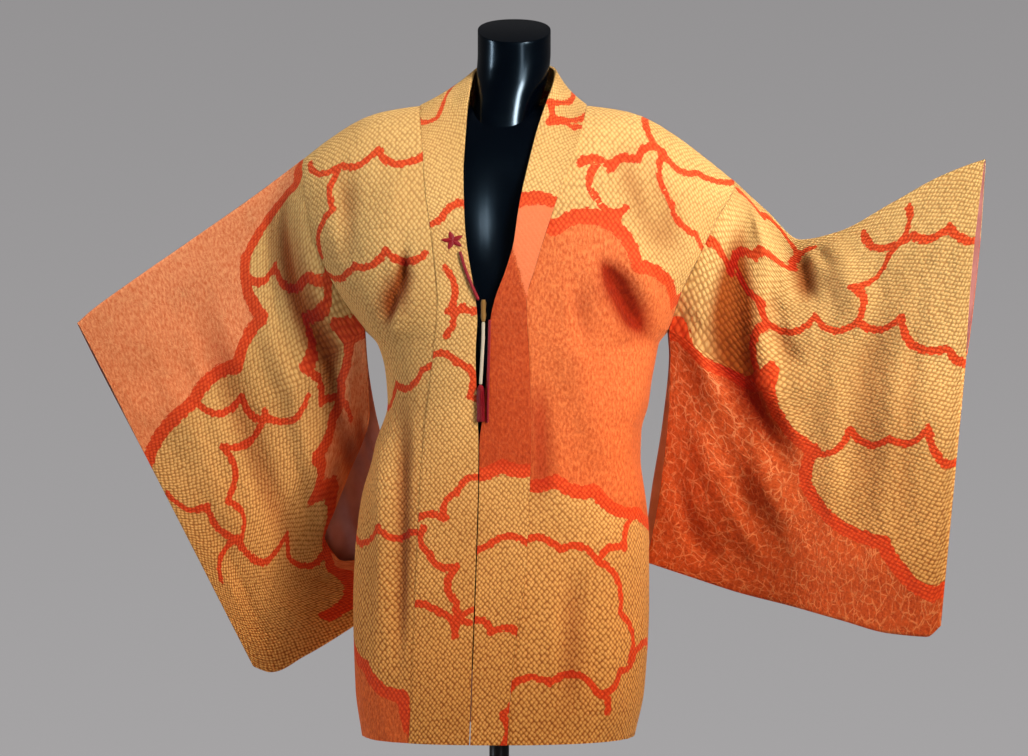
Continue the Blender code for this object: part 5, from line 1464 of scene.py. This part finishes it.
def distance_to(line, places):
    """Distance of each place from a line of points."""
    nearest = np.full(len(places), 9.0)
    for start, end in zip(line[:-1], line[1:]):
        run = end - start
        share = np.clip(((places - start) @ run) / max(run @ run, 1e-12), 0, 1)
        off = places - start - share[:, None] * run
        nearest = np.minimum(nearest, np.hypot(off[:, 0], off[:, 1]))
    return nearest


def inside(outline, places):
    """Whether each place lies inside a closed outline."""
    found = np.zeros(len(places), bool)
    for start, end in zip(outline, np.roll(outline, -1, axis=0)):
        crosses = (start[1] > places[:, 1]) != (end[1] > places[:, 1])
        rise = end[1] - start[1] if end[1] != start[1] else 1e-12
        border = start[0] + (places[:, 1] - start[1]) / rise * (end[0] - start[0])
        found ^= crosses & (places[:, 0] < border)
    return found


def onto_cloth(cloth, front, point):
    """Flat coordinates of the cloth where it is seen at a place across and up, also just past its edge."""
    chosen = cloth.front == front
    seen = cloth.points[chosen][:, [0, 2]]
    flat = np.stack([cloth.u[chosen], cloth.v[chosen]], axis=1)
    spread = np.c_[seen, np.ones(len(seen))]
    slope = np.linalg.lstsq(spread, flat, rcond=None)[0][:2]
    offset = np.array(point) - seen
    nearest = np.argmin(np.hypot(offset[:, 0], offset[:, 1]))
    return flat[nearest] + offset[nearest] @ slope


def dye(cloth, name, guide):
    """Distance in millimetres from the nearest thin cloud line, and into (-) or out of the orange areas.

    The design's places are found on the guide, which is the cloth itself or the one that it is sewn to.
    """
    places = np.stack([cloth.u.ravel(), cloth.v.ravel()], axis=1)
    line = np.full(len(places), FAR)
    area = np.full(len(places), FAR)
    for piece, front, bulge, points in CLOUD_LINES:
        if piece == name:
            flat = [onto_cloth(guide, front, point) for point in points]
            line = np.minimum(line, distance_to(scalloped(flat, bulge), places))
    for piece, front, bulge, points in ORANGE_AREAS:
        if piece == name:
            flat = [onto_cloth(guide, front, point) for point in points]
            outline = scalloped(flat + flat[:1], bulge)
            away = distance_to(outline, places)
            area = np.minimum(area, np.where(inside(outline, places), -away, away))
    return line.reshape(cloth.u.shape) * 1000, area.reshape(cloth.u.shape) * 1000
def alone(obj):
    """Deselects all, then selects one object and makes it the active one."""
    bpy.ops.object.select_all(action="DESELECT")
    obj.select_set(True)
    bpy.context.view_layer.objects.active = obj


def apply_modifier(obj, kind, **settings):
    alone(obj)
    modifier = obj.modifiers.new(kind.lower(), kind)
    for name, value in settings.items():
        setattr(modifier, name, value)
    bpy.ops.object.modifier_apply(modifier=modifier.name)


def merge_doubles(obj, distance=1e-6):
    alone(obj)
    bpy.ops.object.mode_set(mode="EDIT")
    bpy.ops.mesh.select_all(action="SELECT")
    bpy.ops.mesh.remove_doubles(threshold=distance)
    bpy.ops.mesh.normals_make_consistent(inside=False)
    bpy.ops.object.mode_set(mode="OBJECT")


def shade_smooth(obj, angle=50):
    alone(obj)
    bpy.ops.object.shade_smooth_by_angle(angle=math.radians(angle))


def corner_values(mesh, name, values):
    """Stores a value at each corner of each face, from a value for each point."""
    at = np.empty(len(mesh.loops), np.int32)
    mesh.loops.foreach_get("vertex_index", at)
    layer = mesh.attributes.new(name, "FLOAT", "CORNER")
    layer.data.foreach_set("value", values.ravel()[at].astype(np.float32))


def shaped_grid(name, points, u, v):
    """A grid primitive with its points moved to their places, and flat metres as its UV map."""
    rows, columns = points.shape[:2]
    bpy.ops.object.select_all(action="DESELECT")
    bpy.ops.mesh.primitive_grid_add(x_subdivisions=columns - 1, y_subdivisions=rows - 1, size=1)
    obj = bpy.context.object
    obj.name = obj.data.name = name
    mesh = obj.data
    mesh.vertices.foreach_set("co", np.ascontiguousarray(points, np.float32).ravel())
    at = np.empty(len(mesh.loops), np.int32)
    mesh.loops.foreach_get("vertex_index", at)
    flat = np.stack([u.ravel()[at], v.ravel()[at]], axis=1).astype(np.float32)
    mesh.uv_layers[0].data.foreach_set("uv", flat.ravel())
    mesh.update()
    return obj


def faces_out(points, outwards):
    """Whether a grid's faces point the way that is given at its middle."""
    i, j = points.shape[0] // 2, points.shape[1] // 4
    over, down = points[i, j + 1] - points[i, j], points[i + 1, j] - points[i, j]
    return np.dot(np.cross(over, down), outwards) > 0


def sew(name, cloth, node, outwards, materials, thick=CLOTH_THICK, design=None, guide=None, edge=0.0005):
    """A cloth piece from its grid of points: dyed, merged, thickened inwards, with softened edges."""
    fields = [cloth.points, cloth.u, cloth.v, cloth.fold]
    fields += dye(cloth, design, guide or cloth) if design else [np.full(cloth.u.shape, FAR * 1000)] * 2
    outwards = (0, -1, 0) if cloth.wrapped else outwards
    if not faces_out(cloth.points, outwards):
        fields = [field[:, ::-1] for field in fields]
    points, u, v, fold, line, area = fields
    obj = shaped_grid(name, points, u, v)
    corner_values(obj.data, "line", line)
    corner_values(obj.data, "area", area)
    # Fold depth in millimetres, which the crepe turns into painted shade
    corner_values(obj.data, "fold", fold * 1000)
    for material in materials:
        obj.data.materials.append(material)
    if cloth.wrapped:
        alone(obj)
        bpy.ops.object.mode_set(mode="EDIT")
        bpy.ops.mesh.select_all(action="SELECT")
        bpy.ops.mesh.remove_doubles(threshold=2e-6)
        bpy.ops.object.mode_set(mode="OBJECT")
    inner_slot = 1 if len(materials) > 1 else 0
    apply_modifier(
        obj, "SOLIDIFY", thickness=thick, offset=-1, material_offset=inner_slot, use_even_offset=False
    )
    apply_modifier(obj, "BEVEL", width=edge, segments=2, limit_method="ANGLE", angle_limit=math.radians(60))
    shade_smooth(obj, 60)
    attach(obj, "root")
    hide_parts(node)
    return obj


def tube_along(name, path, radii, ridge, sides):
    """A closed tube round a path, whose radius at each point is scaled by its ridges."""
    along = unit(np.gradient(path, axis=0))
    side = unit(np.cross(along, np.array((0.0, -1.0, 0.0))))
    front = np.cross(side, along)
    turn = np.linspace(0, 2 * math.pi, sides + 1)[None, :]
    ring = np.cos(turn)[..., None] * side[:, None] + np.sin(turn)[..., None] * front[:, None]
    points = path[:, None] + ring * (radii[:, None] * ridge)[..., None]
    at = np.concatenate([[0], np.cumsum(np.linalg.norm(np.diff(path, axis=0), axis=1))])[:, None]
    shape = points.shape[:2]
    obj = shaped_grid(
        name, points, np.broadcast_to(turn / (2 * math.pi), shape), np.broadcast_to(at, shape)
    )
    merge_doubles(obj)
    close_ends(obj)
    return obj


def even_path(route, steps):
    """A smooth path through a route's points, its own points evenly spaced, and the distance along it."""
    rows = {"at": np.concatenate([[0], np.cumsum(np.linalg.norm(np.diff(route, axis=0), axis=1))])}
    rows.update({axis: route[:, k] for k, axis in enumerate("xyz")})
    at = np.linspace(0, rows["at"][-1], steps + 1)
    return np.stack([smooth(rows, axis, "at", at) for axis in "xyz"], axis=1), at


def tube_piece(name, route, radius, plies, twist, steps, sides=16, relief=0.16, braided=False):
    """A twisted or braided cord along a smooth route, with rounded ends. It also returns its path."""
    path, at = even_path(route, steps)
    turn = np.linspace(0, 2 * math.pi, sides + 1)[None, :]
    wind = 2 * math.pi * at[:, None] / twist
    wave = np.abs(np.cos(plies / 2 * (turn - wind)))
    if braided:
        wave = np.maximum(wave, np.abs(np.cos(plies / 2 * (turn + wind))))
    near_end = np.minimum(np.minimum(at, at[-1] - at) / radius + 0.15, 1)
    closing = np.sqrt(np.clip(1 - (1 - near_end) ** 2, 0, 1))
    obj = tube_along(name, path, radius * closing, 1 - relief + relief * wave, sides)
    shade_smooth(obj, 70)
    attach(obj, "root")
    return obj, path


def thread(name, route, radii, wrap, sides):
    """A barrel bound with thread: one winding each wrap along it."""
    steps = round(abs(route[-1][2] - route[0][2]) / wrap * 8)
    path, at = even_path(route, steps)
    sizes = np.interp(at, np.linspace(0, at[-1], len(radii)), radii)
    turn = np.linspace(0, 2 * math.pi, sides + 1)[None, :]
    wave = np.abs(np.sin(math.pi * at[:, None] / wrap + turn / 2))
    obj = tube_along(name, path, sizes, 1 - WRAP_RELIEF + WRAP_RELIEF * wave, sides)
    shade_smooth(obj, 60)
    return obj


def prism_along(name, path, radius, sides):
    """A thin thread with flat sides."""
    return tube_along(name, path, np.full(len(path), radius), np.ones((len(path), 1)), sides)


def close_ends(obj):
    """Fills each open end of a tube with one face and turns all faces out."""
    alone(obj)
    bpy.ops.object.mode_set(mode="EDIT")
    bpy.ops.mesh.select_all(action="SELECT")
    bpy.ops.mesh.fill_holes(sides=0)
    bpy.ops.mesh.normals_make_consistent(inside=False)
    bpy.ops.object.mode_set(mode="OBJECT")


def turned_piece(name, profile, sides, place=(0.0, 0.0), bevel=0.0):
    """A turned piece: a circle extruded and resized along its profile, with closed ends."""
    first_radius, first_height = profile[0]
    bpy.ops.object.select_all(action="DESELECT")
    bpy.ops.mesh.primitive_circle_add(
        vertices=sides, radius=first_radius, fill_type="NGON", location=(*place, first_height)
    )
    obj = bpy.context.object
    obj.name = obj.data.name = name
    bpy.ops.object.transform_apply(location=True, rotation=True, scale=True)
    bpy.ops.object.mode_set(mode="EDIT")
    bpy.ops.mesh.select_all(action="SELECT")
    radius, height = first_radius, first_height
    for next_radius, next_height in profile[1:]:
        bpy.ops.mesh.extrude_region_move(TRANSFORM_OT_translate={"value": (0, 0, next_height - height)})
        scale = next_radius / radius
        bpy.ops.transform.resize(value=(scale, scale, 1), center_override=(*place, next_height))
        radius, height = next_radius, next_height
    bpy.ops.mesh.select_all(action="SELECT")
    bpy.ops.mesh.normals_make_consistent(inside=False)
    bpy.ops.object.mode_set(mode="OBJECT")
    if bevel:
        apply_modifier(
            obj, "BEVEL", width=bevel, segments=3, limit_method="ANGLE", angle_limit=math.radians(35)
        )
    shade_smooth(obj, 40)
    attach(obj, "root")
    return obj
def in_front(x, height, clear):
    """A point in front of the collar's outer face."""
    return np.array((x, float(surface_y(x, height)) - COLLAR_PROUD - clear, height))


def route_in_front(route, clear):
    """Points in front of the collar's outer face, from a route's places across and up."""
    return np.array([in_front(x, z, clear) for x, z in zip(route["x"], route["z"])])


def knot_depth():
    return in_front(STRAND_ROUTE["x"][-1], (KNOT_FOOT + KNOT_TOP) / 2, TIE_RADIUS)[1]


def join_all(name, pieces):
    bpy.ops.object.select_all(action="DESELECT")
    for piece in pieces:
        piece.select_set(True)
    bpy.context.view_layer.objects.active = pieces[0]
    bpy.ops.object.join()
    joined = bpy.context.object
    joined.name = joined.data.name = name
    return joined


def make_tassel(top):
    """Loose strands under a bound head, each strand a thin four-sided thread that bends a little."""
    draw = np.random.default_rng(STRAND_SEED)
    head_rows = np.array(HEAD_PROFILE)
    head_route = top + np.array([(0, 0, z) for z in head_rows[:, 1]])
    head = thread("tassel_head", head_route, head_rows[:, 0], HEAD_WRAP, sides=24)
    pieces = [head]
    for i in range(TASSEL_STRANDS):
        angle = i * GOLDEN_ANGLE
        root = TASSEL_ROOT * math.sqrt((i + 0.5) / TASSEL_STRANDS)
        spread = root * draw.uniform(*STRAND_FLARE)
        length = TASSEL_LENGTH * draw.uniform(STRAND_SHORTEST, 1.0)
        sway = draw.normal(0, STRAND_SWAY, 2)
        way = np.array((math.cos(angle), math.sin(angle)))
        down = np.linspace(HEAD_DEPTH * 0.7, length, STRAND_STEPS + 1)
        share = (down / length)[:, None]
        aside = way * (root + (spread - root) * share**0.7) + sway * np.sin(share * STRAND_TURN)
        route = np.column_stack([aside, -down]) + top
        pieces.append(prism_along("strand", route, THREAD_RADIUS, 4))
    tassel = join_all("silk_tassel", pieces)
    shade_smooth(tassel, 60)
    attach(tassel, "root")
    return tassel


def leaf_reach(angle):
    """How far the leaf's outline lies from its middle: five long points with notches between."""
    step = 2 * math.pi / LEAF_POINTS
    off = np.abs((angle - math.pi / 2 - LEAF_TURN + step / 2) % step - step / 2) / (step / 2)
    return LEAF_NOTCH + (LEAF_TIP - LEAF_NOTCH) * (1 - off) ** LEAF_SHARPNESS, off


def make_leaf():
    """The padded leaf: a fan of points domed along each lobe, then thickened."""
    angle = np.linspace(0, 2 * math.pi, LEAF_AROUND + 1)[None, :]
    share = np.linspace(LEAF_START, 1, LEAF_STEPS + 1)[:, None]
    reach, off = leaf_reach(angle)
    x = LEAF_MIDDLE[0] + share * reach * np.cos(angle)
    z = LEAF_MIDDLE[1] + share * reach * LEAF_FLATNESS * np.sin(angle)
    dome = np.sqrt(np.clip(1 - share**LEAF_ROUNDNESS, 0, 1)) * (1 - LEAF_GROOVE * off)
    y = surface_y(x, z) - COLLAR_PROUD - LEAF_BASE - (LEAF_FAR - LEAF_BASE) * dome
    points = np.stack([x, y, z], axis=-1)
    obj = shaped_grid("leaf_motif", points, share * reach * np.cos(angle), share * reach * np.sin(angle))
    merge_doubles(obj)
    close_ends(obj)
    apply_modifier(obj, "SOLIDIFY", thickness=LEAF_BASE - LEAF_NEAR, offset=-1)
    shade_smooth(obj, 50)
    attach(obj, "root")
    return obj


def form_points(row, angle, face):
    """Points of the form's skin, for rows up to the armpit and then up the arch to the shoulder line."""
    share = np.abs(np.sin(angle)) ** (2 / ROUND) * np.sign(angle)
    below = np.minimum(row / FORM_ROWS_BELOW, 1.0)
    height = FORM_FOOT + (ARMPIT - FORM_FOOT) * below
    rise, narrowing = arch(row, FORM_ROWS_BELOW)
    x = AXIS + 0 * share * row
    for _ in range(SETTLE):
        level = height + (shoulder_height(x) - SHOULDER_REST - ARMPIT) * rise
        x = AXIS + share * smooth(FORM, "half_width", "height", level)
    full = smooth(FORM, "front" if face == FRONT else "back", "height", level)
    if face == FRONT:
        middle = np.exp(-(((x - CHEST_HOLLOW_X) / CHEST_HOLLOW_WIDTH) ** 2))
        between = (CHEST_HOLLOW_FOOT + CHEST_HOLLOW_TOP) / 2
        shown = ease(level, CHEST_HOLLOW_FOOT, between) * (1 - ease(level, between, CHEST_HOLLOW_TOP))
        full = full - CHEST_HOLLOW * middle * shown
    y = face * full * narrowing * np.maximum(np.cos(angle), 0) ** (2 / ROUND)
    return np.stack(np.broadcast_arrays(x, y, level), axis=-1)


def make_torso():
    last = FORM_ROWS_BELOW + ROWS_ABOVE
    rows = np.concatenate([
        np.linspace(0, RIM_ROW, RIM_STEPS)[:-1],
        np.linspace(RIM_ROW, FORM_ROWS_BELOW, FORM_LOW_STEPS),
        FORM_ROWS_BELOW + ROWS_ABOVE * np.linspace(0, 1, FORM_HIGH_STEPS)[1:],
    ])[:, None]
    half_turn = np.linspace(-math.pi / 2, math.pi / 2, FORM_AROUND + 1)[None, :]
    front = form_points(rows, half_turn, FRONT)
    back = form_points(rows, half_turn[:, ::-1], BACK)
    points = np.concatenate([front, back[:, 1:]], axis=1)
    turn = np.broadcast_to(np.linspace(0, 1, points.shape[1])[None, :], points.shape[:2])
    up = np.broadcast_to(rows / last, points.shape[:2])
    torso = shaped_grid("torso_shell", points, turn, up)
    merge_doubles(torso)
    close_ends(torso)
    cutter = neck_block("neck_socket", grow=SEAM, above=SOCKET_REACH)
    apply_modifier(torso, "BOOLEAN", operation="DIFFERENCE", object=cutter, solver="EXACT")
    alone(cutter)
    bpy.ops.object.delete()
    shade_smooth(torso, 40)
    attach(torso, "root")
    return torso


def neck_block(name, grow=0.0, above=0.0, bevel=0.0):
    """The neck from its foot up, its top cut at a slant, higher at the back."""
    height = np.linspace(NECK["height"][0], NECK["height"][-1], NECK_STEPS + 1)[:, None]
    angle = np.linspace(0, 2 * math.pi, NECK_AROUND + 1)[None, :]
    square = smooth(NECK, "squareness", "height", height)
    across = np.sign(np.cos(angle)) * np.abs(np.cos(angle)) ** (2 / square)
    along = np.sign(np.sin(angle)) * np.abs(np.sin(angle)) ** (2 / square)
    behind = smooth(NECK, "back", "height", height)
    ahead = smooth(NECK, "front", "height", height)
    depth = np.where(along > 0, behind, ahead)
    x = smooth(NECK, "middle", "height", height)
    x = x + (smooth(NECK, "half_width", "height", height) + grow) * across
    y = (depth + grow) * along
    slant = ease(height, *NECK_SLANT)
    level = height + slant * (NECK_SIDE_TOP - NECK["height"][-1] + NECK_TILT * y)
    level[0] -= grow
    level[-1] += above
    points = np.stack([x, y, level], axis=-1)
    turn = np.broadcast_to(angle / (2 * math.pi), x.shape)
    obj = shaped_grid(name, points, turn, np.broadcast_to(height, x.shape))
    merge_doubles(obj)
    close_ends(obj)
    if bevel:
        apply_modifier(
            obj, "BEVEL", width=bevel, segments=3, limit_method="ANGLE", angle_limit=math.radians(50)
        )
    return obj


def make_stand(material):
    foot = turned_piece("foot_disc", FOOT_PROFILE, sides=96, bevel=FOOT_BEVEL)
    pole_top = FORM_FOOT - SEAM
    pole_profile = ((POLE_RADIUS, HUB_TOP + SEAM), (POLE_RADIUS, pole_top))
    pole = turned_piece("pole_tube", pole_profile, sides=48, bevel=POLE_BEVEL)
    for piece, node in ((foot, "stand_base"), (pole, "stand_pole")):
        piece.data.materials.append(material)
        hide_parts(node)


def softbox(name, place, aim, width, height, power, spread, colour):
    lamp = bpy.data.lights.new(name, "AREA")
    lamp.shape = "RECTANGLE"
    lamp.size, lamp.size_y = width, height
    lamp.energy = power
    lamp.spread = math.radians(spread)
    lamp.color = colour
    obj = bpy.data.objects.new(name, lamp)
    obj.location = place
    obj.visible_glossy = name in LAMPS_IN_GLOSS
    obj.rotation_euler = (Vector(aim) - Vector(place)).to_track_quat("-Z", "Y").to_euler()
    bpy.context.scene.collection.objects.link(obj)


def make_studio():
    """Soft lights, a grey backdrop from the world, and a pale round floor."""
    for light in SOFTBOXES:
        softbox(*light)
    world = bpy.data.worlds.new("studio")
    bpy.context.scene.world = world
    world.use_nodes = True
    tree = world.node_tree
    place = tree.nodes.new("ShaderNodeTexCoord")
    split = tree.nodes.new("ShaderNodeSeparateXYZ")
    ramp = tree.nodes.new("ShaderNodeValToRGB")
    spread = tree.nodes.new("ShaderNodeMapRange")
    spread.inputs["From Min"].default_value = -BACKDROP_REACH
    spread.inputs["From Max"].default_value = BACKDROP_REACH
    ramp.color_ramp.elements[0].color = BACKDROP_LOW
    ramp.color_ramp.elements[1].color = BACKDROP_HIGH
    tree.links.new(place.outputs["Generated"], split.inputs[0])
    tree.links.new(split.outputs[2], spread.inputs["Value"])
    tree.links.new(spread.outputs[0], ramp.inputs[0])
    tree.links.new(ramp.outputs[0], tree.nodes["Background"].inputs["Color"])
    seen = tree.nodes.new("ShaderNodeLightPath").outputs["Is Camera Ray"]
    strength = tree.nodes.new("ShaderNodeMapRange")
    strength.inputs["To Min"].default_value = AMBIENT
    tree.links.new(seen, strength.inputs["Value"])
    tree.links.new(strength.outputs[0], tree.nodes["Background"].inputs["Strength"])
    bpy.ops.object.select_all(action="DESELECT")
    middle = (0, 0, -FLOOR_DEPTH / 2 - FLOOR_DROP)
    bpy.ops.mesh.primitive_cylinder_add(
        vertices=128, radius=FLOOR_RADIUS, depth=FLOOR_DEPTH, location=middle
    )
    floor = bpy.context.object
    floor.name = floor.data.name = "studio_floor"
    bpy.ops.object.transform_apply(location=True, rotation=True, scale=True)
    floor.data.materials.append(floor_finish())


def make_tie(crimson, cream, bound):
    """The strand, the bound knot, two tails, the tassel and the leaf, each given its material."""
    strand_route = route_in_front(STRAND_ROUTE, TIE_CLEAR)
    strand, strand_path = tube_piece(
        "tie_cord", strand_route, TIE_RADIUS, plies=3, twist=0.011, steps=110
    )
    depth = knot_depth()
    knot_radii, knot_heights = np.array(KNOT_PROFILE).T
    knot_route = np.array([(KNOT_X, depth, z) for z in knot_heights])
    knot = thread("bound_knot", knot_route, knot_radii, KNOT_WRAP, sides=28)
    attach(knot, "root")
    cream_route = np.array([(x, depth, z) for x, z in zip(CREAM_ROUTE["x"], CREAM_ROUTE["z"])])
    braid, braid_path = tube_piece(
        "cream_braid", cream_route, TIE_RADIUS, plies=4, twist=0.010, steps=150, braided=True
    )
    tail_route = route_in_front(CRIMSON_ROUTE, TAIL_CLEAR)
    tail, tail_path = tube_piece(
        "crimson_cord", tail_route, TAIL_RADIUS, plies=3, twist=0.009, steps=220
    )
    tassel = make_tassel(cream_route[-1] - np.array((0, 0, SEAM)))
    leaf = make_leaf()
    finished = (
        (strand, "tie_strand", crimson, "crimson_silk"),
        (knot, "tie_knot", bound, "bound_gold"),
        (braid, "tie_tail_cream", cream, "cream_silk"),
        (tail, "tie_tail_crimson", crimson, "crimson_silk"),
        (tassel, "tie_tassel", crimson, "crimson_silk"),
        (leaf, "leaf_ornament", crimson, "crimson_silk"),
    )
    for piece, node, material, slot in finished:
        piece.data.materials.clear()
        piece.data.materials.append(material)
        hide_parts(node)


def main():
    body_crepe, right_crepe, left_crepe, peach = [crepe_finish(*values) for values in CREPES]
    pink = lining_finish()
    crimson = silk_finish("crimson_silk", *CRIMSON)
    cream = silk_finish("cream_silk", *CREAM)
    bound = silk_finish("bound_gold", *BOUND_GOLD)
    gloss = gloss_finish()
    paint = paint_finish()

    make_tie(crimson, cream, bound)
    bodies = {side: body_cloth(side) for side in (RIGHT, LEFT)}
    sewn = []
    for side, word in ((RIGHT, "right"), (LEFT, "left")):
        body = bodies[side]
        panel = sew(
            f"{word}_body_cloth",
            body,
            f"body_panel_{word}",
            (0, 0, 1),
            (body_crepe, pink),
            design=f"body_{word}",
        )
        strip = gusset_cloth(side, body)
        gusset = sew(
            f"{word}_gusset_cloth",
            strip,
            f"gusset_{word}",
            (side, 0, 0),
            (body_crepe, pink),
            design=f"body_{word}",
            guide=body,
        )
        sewn += [(panel, BODY_CUT, "gold_crepe"), (gusset, GUSSET_CUT, "gold_crepe")]
    band = sew("collar_band", collar_cloth(bodies), "collar", (0, 0.2, 1), (peach,), COLLAR_THICK, "collar")
    sewn.append((band, COLLAR_CUT, "collar_crepe"))
    right = Sleeve(
        RIGHT, bodies[RIGHT], RIGHT_SLEEVE, RIGHT_OPENING, RIGHT_SLEEVE_FOLDS, RIGHT_SLEEVE_CREASES
    )
    left = Sleeve(LEFT, bodies[LEFT], LEFT_SLEEVE, LEFT_OPENING, LEFT_SLEEVE_FOLDS, LEFT_SLEEVE_CREASES)
    for sleeve, word, crepe in ((right, "right", right_crepe), (left, "left", left_crepe)):
        bag = sew(
            f"{word}_sleeve_cloth",
            sleeve.cloth(),
            f"sleeve_{word}",
            None,
            (crepe, pink),
            design=f"sleeve_{word}",
        )
        sewn.append((bag, SLEEVE_CUT, "gold_crepe"))
    lining = sew(
        "right_sleeve_lining_cloth",
        right.lining_cloth(),
        "sleeve_lining_right",
        (0, -1, 0),
        (pink,),
        LINING_THICK,
    )
    sewn.append((lining, LINING_CUT, "pink_lining"))

    torso = make_torso()
    neck = neck_block("neck_form", bevel=NECK_BEVEL)
    shade_smooth(neck, 40)
    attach(neck, "root")
    for piece, node in ((torso, "form_torso"), (neck, "form_neck")):
        piece.data.materials.clear()
        piece.data.materials.append(gloss)
        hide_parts(node)
    make_stand(paint)
    make_studio()


main()
